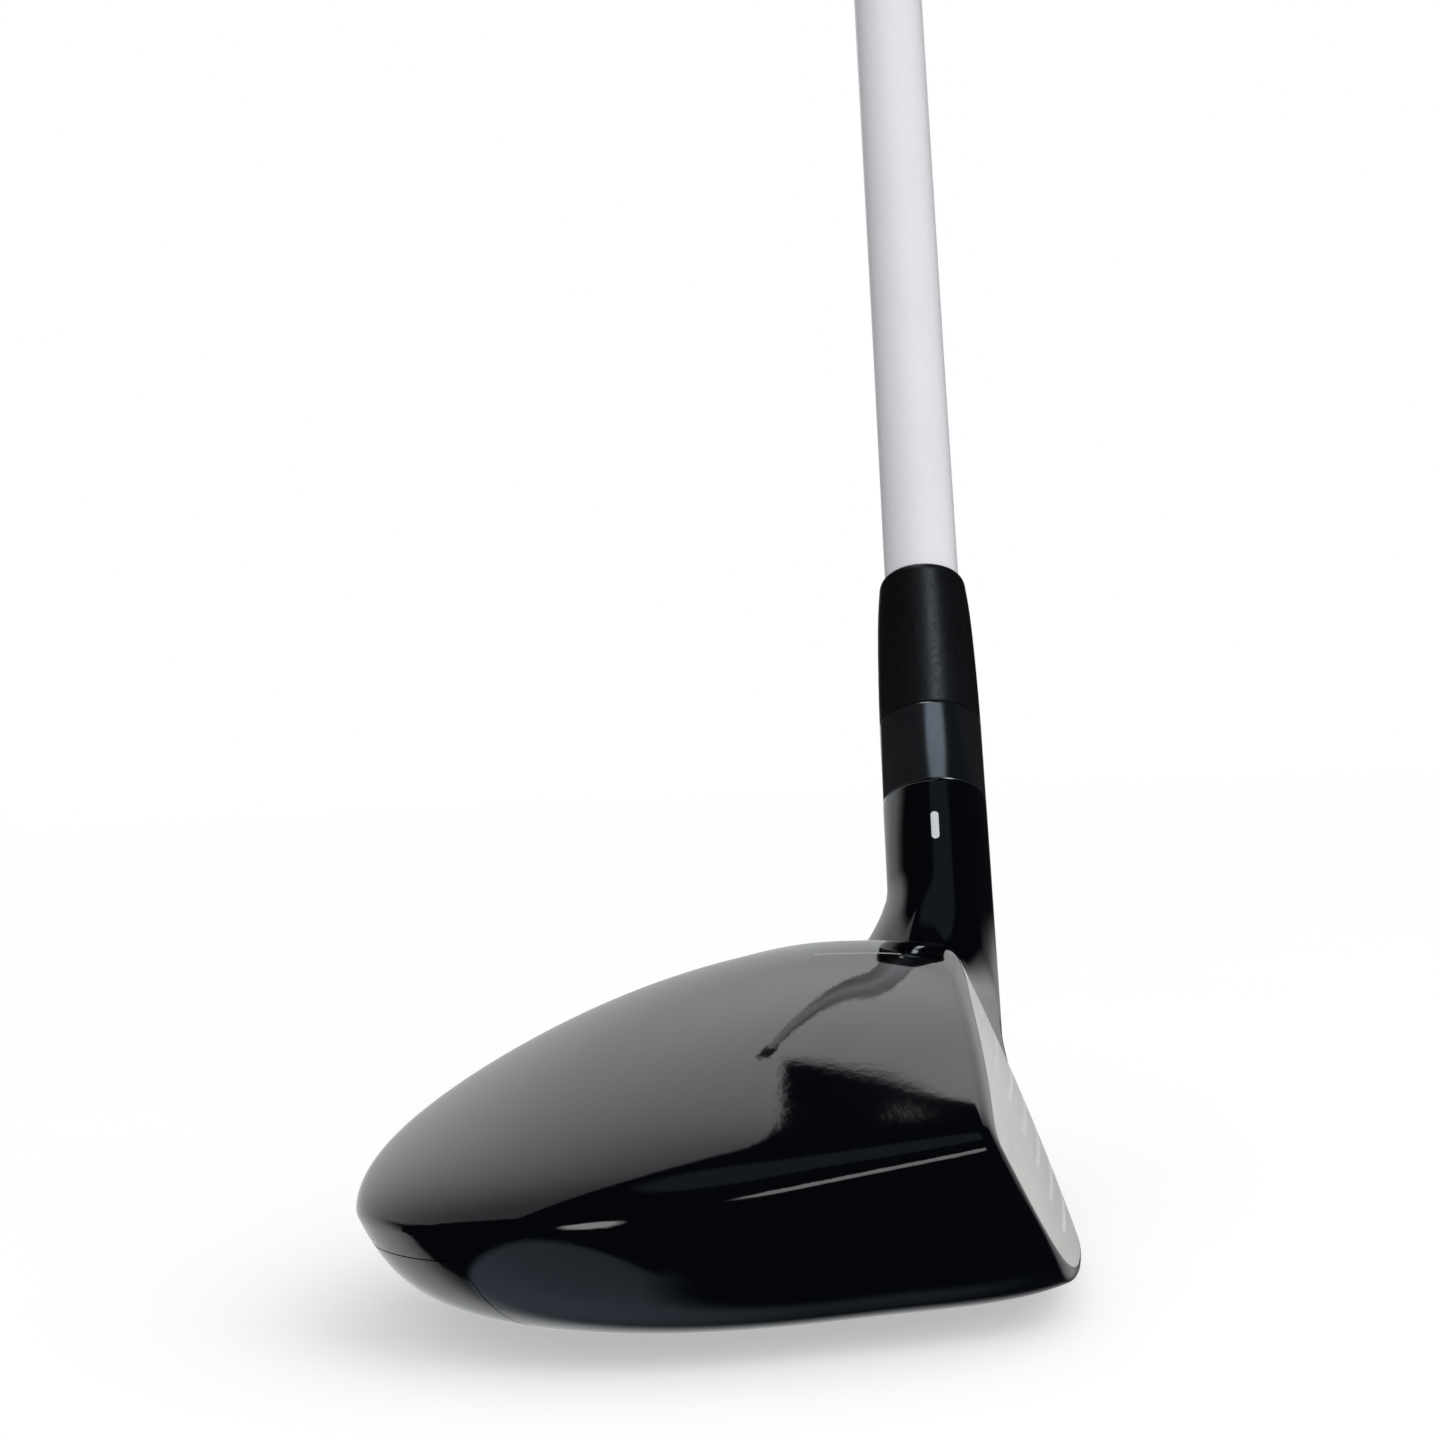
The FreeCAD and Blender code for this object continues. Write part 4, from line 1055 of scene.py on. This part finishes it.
# ------------------------------------------------------------------ materials
def gloss_black(name, tint, rough=0.035):
    """Lacquer with orange peel, fine flecks and rubbed streaks."""
    m = Surface(name)
    peel = m.noise(scale=900.0, detail=2.0)
    fine = m.noise(scale=5200.0, detail=2.0, rough=0.6)
    haze = m.noise(scale=38.0, detail=5.0, rough=0.6)
    streak = m.noise(scale=1.0, detail=4.0, rough=0.65, stretch=(260.0, 2600.0, 2600.0))
    rub = m.remap(streak, over=(0.66, 0.74))
    roughness = m.math("ADD", m.remap(haze, over=(0.35, 0.75), to=(rough, rough + 0.035)),
                       m.math("MULTIPLY", rub, 0.06))
    fleck = m.remap(m.noise(scale=9000.0, detail=1.0), over=(0.62, 0.72))
    fleck_colour = rgb(tint[0] * 2.4, tint[1] * 2.5, tint[2] * 2.9)
    colour = m.mix(m.math("MULTIPLY", fleck, 0.35), rgb(*tint), fleck_colour)
    normal = m.bump(peel, strength=0.035, distance=0.00012)
    normal = m.bump(fine, strength=0.015, distance=0.00003, normal=normal)
    return m.principled(Base_Color=colour, Roughness=roughness, Metallic=0.0, IOR=1.5,
                        Specular_IOR_Level=0.5, Normal=normal)


def satin_metal(name, colour, rough, metal, strength):
    m = Surface(name)
    grain = m.noise(scale=1.0, detail=4.0, rough=0.6, stretch=(2200.0, 2200.0, 2200.0))
    grime = m.noise(scale=90.0, detail=4.0, rough=0.55)
    base = m.mix(m.remap(grime, over=(0.35, 0.7), to=(0.0, 0.35)), rgb(*colour),
                 shade(colour, 0.72))
    base = m.mix(m.remap(grain, over=(0.3, 0.7), to=(0.0, 0.3)), base, shade(colour, 1.25))
    roughness = m.remap(grain, over=(0.25, 0.75), to=(rough * 0.8, rough * 1.25))
    return m.principled(Base_Color=base, Metallic=metal, Roughness=roughness,
                        Normal=m.bump(grain, strength, distance=0.00006))


def turned_metal(name, colour, rough, foot=FOOT, axis=AXIS, pitch=5200.0, strength=0.1, aniso=0.5):
    """Lathe-turned metal: fine lines round an axis."""
    m = Surface(name)
    along = m.vector("DOT_PRODUCT", m.coord, tuple(axis))
    lines = m.node("ShaderNodeTexNoise", {
        "W": m.math("MULTIPLY", along, pitch), "Scale": 1.0, "Detail": 3.0,
        "Roughness": 0.7}, noise_dimensions="1D").outputs["Fac"]
    grain = m.noise(scale=2600.0, detail=2.0)
    grime = m.noise(scale=160.0, detail=4.0, rough=0.6)
    base = m.mix(m.remap(grime, over=(0.35, 0.75), to=(0.0, 0.5)), rgb(*colour),
                 shade(colour, 0.7))
    roughness = m.math("ADD", m.remap(lines, over=(0.3, 0.7), to=(rough * 0.85, rough * 1.2)),
                       m.remap(grain, over=(0.4, 0.7), to=(0.0, 0.04)))
    normal = m.bump(lines, strength, distance=0.00003)
    normal = m.bump(grain, strength * 0.5, distance=0.00002, normal=normal)
    # the tangent runs round the axis
    off = m.vector("SUBTRACT", m.coord, tuple(np.array(foot) * MM))
    tangent = m.vector("CROSS_PRODUCT", off, tuple(axis))
    return m.principled(Base_Color=base, Metallic=1.0, Roughness=roughness, Normal=normal,
                        Anisotropic=aniso, Tangent=tangent)


def rubber(name, colour, rough=0.62):
    m = Surface(name)
    grain = m.noise(scale=2400.0, detail=4.0, rough=0.6)
    pores = m.cells(scale=1500.0, output="Distance")
    dust = m.noise(scale=26.0, detail=5.0, rough=0.6)
    base = m.mix(m.remap(dust, over=(0.45, 0.75), to=(0.0, 0.45)), rgb(*colour),
                 shade(colour, 1.9, lift=0.006))
    normal = m.bump(grain, strength=0.25, distance=0.00008)
    normal = m.bump(pores, strength=0.12, distance=0.00006, normal=normal)
    roughness = m.remap(dust, over=(0.3, 0.7), to=(rough - 0.06, rough + 0.1))
    return m.principled(Base_Color=base, Roughness=roughness, Normal=normal,
                        Specular_IOR_Level=0.35)


def plastic(name, colour, rough, grain_scale, strength, speck=0.0):
    m = Surface(name)
    grain = m.noise(grain_scale, detail=4.0, rough=0.65)
    soft = m.noise(scale=60.0, detail=4.0, rough=0.6)
    base = m.mix(m.remap(soft, over=(0.35, 0.7), to=(0.0, 0.4)), rgb(*colour),
                 shade(colour, 1.5, lift=0.003))
    if speck:
        dots = m.noise(grain_scale * 1.3, detail=2.0, rough=0.7)
        base = m.mix(m.remap(dots, over=(0.56, 0.68), to=(0.0, speck)), base,
                     shade(colour, 4, lift=0.02))
    roughness = m.remap(grain, over=(0.3, 0.7), to=(rough * 0.85, rough * 1.25))
    return m.principled(Base_Color=base, Roughness=roughness,
                        Normal=m.bump(grain, strength, distance=0.00008), Specular_IOR_Level=0.45)


def shaft_paint(name):
    """Pearl white: fine mica, satin lacquer, a few scuffs."""
    m = Surface(name)
    mica = m.cells(scale=5200.0, output="Color")
    sparkle = m.node("ShaderNodeSeparateColor", {0: mica}).outputs[0]
    soft = m.noise(scale=30.0, detail=4.0, rough=0.6)
    base = m.mix(m.remap(soft, over=(0.35, 0.7)), rgb(0.71, 0.705, 0.74), rgb(0.68, 0.685, 0.72))
    base = m.mix(m.remap(sparkle, over=(0.86, 1.0), to=(0.0, 0.35)), base, rgb(0.86, 0.87, 0.92))
    scuffs = m.noise(scale=1.0, detail=5.0, rough=0.7, stretch=(900.0, 900.0, 240.0))
    marks = m.math("MULTIPLY", m.remap(scuffs, over=(0.70, 0.76)), 0.35)
    base = m.mix(marks, base, rgb(0.42, 0.42, 0.44))
    normal = m.bump(m.noise(scale=1600.0, detail=2.0), strength=0.04, distance=0.00006)
    return m.principled(Base_Color=base, Metallic=0.12, Normal=normal,
                        Roughness=m.remap(soft, over=(0.3, 0.7), to=(0.30, 0.38)),
                        Coat_Weight=0.55, Coat_Roughness=0.22, Coat_IOR=1.45, Sheen_Weight=0.05)


def fabric_tape(name):
    m = Surface(name)
    weave = m.node("ShaderNodeTexWave", {"Vector": m.coord, "Scale": 900.0,
                                         "Distortion": 1.5}).outputs["Fac"]
    base = m.mix(m.noise(scale=200.0), rgb(0.80, 0.77, 0.68), rgb(0.7, 0.67, 0.58))
    return m.principled(Base_Color=base, Roughness=0.8,
                        Normal=m.bump(weave, strength=0.2, distance=0.0001))


def melt(name):
    m = Surface(name)
    soft = m.noise(scale=300.0, rough=0.6)
    return m.principled(Base_Color=m.mix(soft, rgb(0.72, 0.60, 0.36), rgb(0.60, 0.48, 0.28)),
                        Roughness=0.35, Normal=m.bump(soft, strength=0.3, distance=0.0004))


def face_steel(name):
    """Blasted steel with faint level lines, clouding and dark marks."""
    m = Surface(name)
    blast = m.noise(scale=3600.0, detail=4.0, rough=0.65)
    level = m.noise(scale=1.0, rough=0.6, stretch=(60.0, 60.0, 5200.0))
    cloud = m.noise(scale=55.0, detail=4.0, rough=0.6)
    base = m.mix(m.remap(cloud, over=(0.35, 0.7)), rgb(0.76, 0.735, 0.70), rgb(0.69, 0.67, 0.64))
    base = m.mix(m.remap(level, over=(0.45, 0.7), to=(0.0, 0.35)), base, rgb(0.88, 0.86, 0.83))
    marks = m.noise(scale=1.0, detail=5.0, rough=0.7, stretch=(420.0, 420.0, 900.0))
    base = m.mix(m.remap(marks, over=(0.68, 0.76), to=(0.0, 0.4)), base, rgb(0.36, 0.35, 0.34))
    normal = m.bump(blast, strength=0.22, distance=0.00005)
    normal = m.bump(level, strength=0.10, distance=0.00004, normal=normal)
    return m.principled(Base_Color=base, Metallic=0.8, Normal=normal,
                        Roughness=m.remap(blast, over=(0.3, 0.7), to=(0.30, 0.42)))


def groove_paint(name):
    m = Surface(name)
    grain = m.noise(scale=2200.0, rough=0.6)
    dirt = m.remap(m.noise(scale=220.0, detail=4.0, rough=0.6), over=(0.5, 0.72), to=(0.0, 0.5))
    return m.principled(Base_Color=m.mix(dirt, rgb(0.86, 0.86, 0.85), rgb(0.5, 0.48, 0.45)),
                        Roughness=0.55, Normal=m.bump(grain, strength=0.2, distance=0.00005))


def dress(obj, *mats):
    obj.data.materials.clear()
    for mat in mats:
        obj.data.materials.append(mat)


paint = gloss_black("gloss_black_lacquer", tint=(0.0010, 0.0013, 0.0020))
sole_paint = gloss_black("sole_panel_lacquer", tint=(0.0016, 0.0019, 0.0026), rough=0.05)
for piece in (casting, hosel, crown):
    dress(piece, paint)
dress(panel, sole_paint)
dress(face, face_steel("blasted_face_steel"), groove_paint("white_groove_paint"))
dress(band, turned_metal("gunmetal_polished", (0.76, 0.77, 0.80), rough=0.15,
                         strength=0.05, aniso=0.2))
dress(ferrule, plastic("ferrule_satin_plastic", (0.0024, 0.0032, 0.0044), rough=0.34,
                       grain_scale=1700.0, strength=0.22, speck=0.14))
dress(shaft, shaft_paint("pearl_white_shaft"))
dress(grip, rubber("grip_rubber_moulded", (0.012, 0.012, 0.013)))
dress(cap, rubber("cap_rubber_moulded", (0.010, 0.010, 0.011), rough=0.5))
dress(tick, satin_metal("silver_tick_paint", (0.58, 0.60, 0.63), rough=0.35, metal=0.15,
                        strength=0.25))
dress(line, satin_metal("alignment_line_paint", (0.42, 0.42, 0.41), rough=0.40, metal=0.3,
                        strength=0.08))

CAD_LOOKS = {
    "hot_melt_pad": melt("hot_melt_amber"),
    "hosel_seat": turned_metal("seat_steel_turned", (0.5, 0.5, 0.5), rough=0.3),
    "screw_retainer": plastic("retainer_nylon", (0.02, 0.02, 0.02), rough=0.45,
                              grain_scale=1500.0, strength=0.1),
    "screw_washer": turned_metal("washer_steel", (0.55, 0.55, 0.54), rough=0.32),
    "hosel_screw": turned_metal("screw_steel_dark", (0.22, 0.22, 0.23), rough=0.30),
    "sleeve_o_ring": rubber("o_ring_rubber", (0.012, 0.012, 0.012), rough=0.5),
    "loft_sleeve": turned_metal("sleeve_aluminium_turned", (0.62, 0.63, 0.65), rough=0.26),
    "tip_plug": plastic("plug_plastic", (0.45, 0.45, 0.43), rough=0.5,
                        grain_scale=1200.0, strength=0.1),
    "grip_tape": fabric_tape("paper_tape"),
    "weight_o_ring": rubber("weight_seal_rubber", (0.012, 0.012, 0.012), rough=0.5),
    "rear_weight": turned_metal("weight_steel_turned", (0.30, 0.30, 0.31), rough=0.28,
                                foot=WEIGHT_FOOT, axis=UP, pitch=9000.0),
}
for name, mat in CAD_LOOKS.items():
    dress(frame["nodes"][name], mat)

# ------------------------------------------------------------------ surroundings in reflections
# Glows, each: azimuth from +x towards +y, elevation, outer and inner angle in degrees, gain
BROAD_LIGHT = ((55, 20, 67.0, 64.6, 1.0), (-26, 44, 25, 21, 1.0), (-42, 4, 40, 28, 1.0))
BROAD_GLOWS = ((42, 46, 62, 4, 0.90), (-12, 48, 30, 4, 0.70), (-38, 18, 30, 4, 0.70))
BROAD_LEVEL = 0.52                      # evenness under the glows
FLOOR_GLOW = (28, -18, 42, 20, 0.70)
FRONT_GLOW = (-34, -8, 26, 12, 0.45)
UNDER_GLOW = (110, -62, 66, 14, 0.38)
UNDER_SHADES = ((-110, -56, 40, 26, 1.0), (-172, -48, 20, 12, 1.0))
LAMP_GLOWS = ((157, -33, 13, 7, 4.5), (-152, -5, 12, 6, 3.2))
STRIP_GLOW = (-165, 62, 22, 14, 0.17)
DARK_LEVEL = 0.009                      # what the dark parts still give
FILL_LEVEL, FILL_GLOWS = 0.34, ((-160, 30, 95, 5, 1.25), (-60, 25, 60, 5, 0.30))


def surroundings(f, direction):
    """Colour by direction: a broad soft light beyond the heel, dark drapes on the toe side,
    a pale floor beyond the heel and two small lamps on the toe side."""
    x, y, z = f.parts(direction)
    azimuth = f.math("MULTIPLY", f.math("ARCTAN2", y, x), 57.29578)
    height = f.math("MINIMUM", f.math("MAXIMUM", z, -1.0), 1.0)
    elevation = f.math("MULTIPLY", f.math("ARCSINE", height), 57.29578)

    def glow(row):
        return f.lobe(direction, *row)

    def past_60():
        return f.math("MAXIMUM", f.math("SUBTRACT", azimuth, 60.0), 0.0)

    # broad light, cut off below a sill that climbs past azimuth 60
    first, second, third = map(glow, BROAD_LIGHT)
    cone = f.math("MAXIMUM", first, f.math("MAXIMUM", second, third))
    level = f.plus(BROAD_LEVEL, *map(glow, BROAD_GLOWS))
    past = f.math("DIVIDE", past_60(), -35.0)
    sill = f.math("MULTIPLY_ADD", f.flip(f.math("EXPONENT", past)), 49.0, -26.0)
    over = f.remap(f.math("SUBTRACT", elevation, sill), over=(-1.5, 1.5))
    cut = f.flip(f.times(f.remap(azimuth, over=(57, 60)), f.flip(over)))
    high = f.remap(elevation, over=(-9, -1))
    # dark drape high up, on the front side of a slanting edge
    slanted = f.math("MULTIPLY_ADD", elevation, 0.3, azimuth)
    drape = f.times(f.remap(elevation, over=(54.8, 56.6)),
                    f.flip(f.remap(slanted, over=(10.6, 12.6))))
    sky = f.times(cone, level, cut, high, f.flip(drape))
    # pale floor beyond the heel, towards the front, and under the head
    near = f.times(glow(FLOOR_GLOW), cut, f.flip(high), f.remap(elevation, over=(-56, -42)),
                   f.flip(f.times(f.remap(azimuth, over=(58, 61)), f.flip(over))))
    front = f.times(glow(FRONT_GLOW), f.flip(high))
    turn = f.math("DIVIDE", past_60(), 105.0)
    edge = f.math("MULTIPLY_ADD", f.math("POWER", turn, 4.0), -11.0, -45.5)
    first, second = [f.flip(glow(row)) for row in UNDER_SHADES]
    under = f.times(glow(UNDER_GLOW),
                    f.remap(f.math("SUBTRACT", edge, elevation), over=(0.0, 2.5)), first, second)

    tinted = [f.vector("SCALE", tint, scale=value) for value, tint in (
        (f.plus(sky, near, front), (0.975, 1.0, 1.015)),
        (f.plus(under, DARK_LEVEL), (0.78, 1.0, 1.22)),
        (glow(STRIP_GLOW), (0.84, 1.0, 1.16)),
        (f.plus(*map(glow, LAMP_GLOWS)), (1.0, 1.0, 1.0)))]
    return reduce(lambda a, b: f.vector("ADD", a, b), tinted)


# ------------------------------------------------------------------ floor, world, cards
def flat_object(name, corners, faces):
    """Object from corners in metres, for the view only."""
    mesh = bpy.data.meshes.new(name)
    mesh.from_pydata(corners, [], faces)
    obj = bpy.data.objects.new(name, mesh)
    bpy.context.scene.collection.objects.link(obj)
    return obj


def floor_material():
    """Pale floor that fades to white; reflections see the surroundings instead."""
    m = Surface("pale_floor")
    fade = m.remap(m.vector("LENGTH", m.coord), over=(0.25, 1.1))
    colour = m.mix(m.noise(scale=14.0), rgb(0.62, 0.62, 0.625), rgb(0.64, 0.64, 0.64))
    diffuse = m.node("ShaderNodeBsdfDiffuse", {"Color": colour}).outputs[0]
    lift = m.emission(rgb(1, 1, 1), strength=0.45)
    pale = m.node("ShaderNodeAddShader", {0: diffuse, 1: lift}).outputs[0]
    shown = m.mix_shader(fade, pale, m.emission(rgb(1, 1, 1), strength=1.0))
    incoming = m.node("ShaderNodeNewGeometry").outputs["Incoming"]
    away = m.vector("SCALE", incoming, scale=-1.0)
    seen = m.emission(surroundings(m, away), strength=1.0)
    is_glossy = m.node("ShaderNodeLightPath").outputs["Is Glossy Ray"]
    return m.finish(m.mix_shader(is_glossy, shown, seen))


FLOOR_HALF, FLOOR_Z = 6.0, -0.0002
floor = flat_object("floor", [(sx * FLOOR_HALF, sy * FLOOR_HALF, 0)
                              for sx, sy in ((-1, -1), (1, -1), (1, 1), (-1, 1))], [(0, 1, 2, 3)])
floor.location = (0, 0, FLOOR_Z)
dress(floor, floor_material())


def make_world():
    """White to the camera, soft fill to matt surfaces, the surroundings to glossy ones."""
    world = bpy.data.worlds.new("studio")
    bpy.context.scene.world = world
    world.use_nodes = True
    w = Nodes(world.node_tree)
    w.tree.nodes.clear()
    direction = w.node("ShaderNodeTexCoord").outputs["Generated"]
    glossy = w.background(surroundings(w, direction), strength=1.0)
    level = w.plus(FILL_LEVEL, *[w.lobe(direction, *row) for row in FILL_GLOWS])
    fill = w.background((0.985, 0.99, 1.0, 1.0), strength=level)
    plain = w.background((1, 1, 1, 1), strength=1.0)
    path = w.node("ShaderNodeLightPath").outputs
    lit = w.mix_shader(path["Is Diffuse Ray"], plain, fill)
    w.node("ShaderNodeOutputWorld", {0: w.mix_shader(path["Is Glossy Ray"], lit, glossy)})
    world.cycles.sampling_method = "NONE"


make_world()


def card_material():
    """Works only on rays that leave the neck or the pieces above it."""
    m = Surface("dark_card")
    geometry = m.node("ShaderNodeNewGeometry").outputs
    ray_length = m.node("ShaderNodeLightPath").outputs["Ray Length"]
    back = m.vector("SCALE", geometry["Incoming"], scale=ray_length)
    left = m.vector("ADD", geometry["Position"], back)       # where the ray set out
    hit_x, hit_y, hit_z = m.parts(geometry["Position"])

    def from_foot():
        return m.vector("SUBTRACT", left, tuple(FOOT * MM))

    away = m.vector("LENGTH", m.vector("CROSS_PRODUCT", from_foot(), tuple(AXIS)))
    station = m.vector("DOT_PRODUCT", from_foot(), tuple(AXIS))
    on_neck = m.times(m.remap(away, over=(0.0078, 0.0098), to=(1.0, 0.0)),
                      m.remap(m.parts(left)[2], over=(0.028, 0.036)))
    above_hosel = m.remap(station, over=(HOSEL_TOP * MM - 0.0003, HOSEL_TOP * MM + 0.0001))
    # the hosel itself sees only the toe end of the cards, and the rear card
    part = m.math("MAXIMUM", m.remap(hit_x, over=(0.056, 0.088), to=(1.0, 0.0)),
                  m.remap(hit_y, over=(-0.02, 0.02), to=(1.0, 0.0)))
    part = m.math("MAXIMUM", part, above_hosel)
    dark = m.times(on_neck, part)
    # the third card is a soft lamp that only the ferrule sees
    lamp = m.times(m.remap(hit_z, over=(0.29, 0.30)),
                   m.remap(hit_y, over=(-0.044, -0.041), to=(1.0, 0.0)),
                   m.remap(hit_x, over=(0.034, 0.038), to=(1.0, 0.0)))
    low, high = FERRULE_LOW * MM, FERRULE_HIGH * MM
    on_ferrule = m.times(m.remap(station, over=(low, low + 0.0004)),
                         m.remap(station, over=(high, high + 0.0004), to=(1.0, 0.0)))
    shown = m.math("MAXIMUM", m.times(dark, m.flip(lamp)), m.times(lamp, on_ferrule))
    strength = m.math("MULTIPLY_ADD", lamp, 2.5, 0.012)
    clear = m.node("ShaderNodeBsdfTransparent").outputs[0]
    return m.finish(m.mix_shader(shown, clear, m.emission(rgb(0.9, 1, 1.1), strength)))


# upright cards behind and in front of the neck, and a tilted one high on the toe side; metres
LAMP_AT = np.array([-0.082, -0.105, 0.364])
LAMP_ACROSS, LAMP_UP = np.array([0.0, 0.060, 0.0]), np.array([0.108, 0.0, 0.054])
REAR_CARD = [(-0.075, 0.055, 0.030), (0.27, 0.055, 0.030), (0.27, 0.055, 0.36),
             (-0.075, 0.055, 0.36)]
FRONT_CARD = [(0.060, -0.085, 0.002), (0.33, -0.085, 0.002), (0.33, -0.085, 0.36),
              (0.060, -0.085, 0.36)]
LAMP_CARD = [tuple(LAMP_AT + a * LAMP_ACROSS + b * LAMP_UP)
             for a, b in ((-1, -1), (1, -1), (1, 1), (-1, 1))]
cards = flat_object("dark_cards", REAR_CARD + FRONT_CARD + LAMP_CARD,
                    [(0, 1, 2, 3), (4, 5, 6, 7), (8, 9, 10, 11)])
cards.visible_camera = cards.visible_diffuse = False
cards.visible_shadow = cards.visible_transmission = False
dress(cards, card_material())


# ------------------------------------------------------------------ light and camera
def make_key():
    """Soft square light in front on the toe side, not seen in reflections; metres."""
    where, target = Vector((-0.9, -0.75, 0.9)), Vector((0.05, 0, 0.1))
    light = bpy.data.lights.new("key_soft", "AREA")
    light.shape = "RECTANGLE"
    light.size = light.size_y = 0.9
    light.energy = 5.0
    key = bpy.data.objects.new("key_soft", light)
    key.location = where
    key.rotation_euler = (target - where).to_track_quat("-Z", "Y").to_euler()
    bpy.context.scene.collection.objects.link(key)
    key.visible_glossy = False


def make_camera():
    """Looks from the toe towards the heel, slightly down."""
    data = bpy.data.cameras.new("camera")
    camera = bpy.data.objects.new("camera", data)
    bpy.context.scene.collection.objects.link(camera)
    data.sensor_width = 36.0
    data.sensor_fit = "HORIZONTAL"
    data.lens = 78.894675
    data.clip_start = 0.01
    data.clip_end = 50.0
    at = np.array([-350.805, 2.119, 73.502]) * MM
    yaw, pitch, roll = math.radians(1.933), math.radians(1.786), math.radians(-2.314)
    ahead = np.array([math.cos(pitch) * math.cos(yaw), math.cos(pitch) * math.sin(yaw),
                      -math.sin(pitch)])
    level = unit(np.cross(ahead, UP))
    upright = np.cross(level, ahead)
    right = level * math.cos(roll) + upright * math.sin(roll)
    up = -level * math.sin(roll) + upright * math.cos(roll)
    matrix = np.eye(4)
    matrix[:3] = np.stack([right, up, -ahead, at], 1)
    camera.matrix_world = Matrix(matrix.tolist())
    bpy.context.scene.camera = camera


make_key()
make_camera()
bpy.context.scene.view_settings.view_transform = "Standard"
bpy.context.scene.view_settings.look = "None"
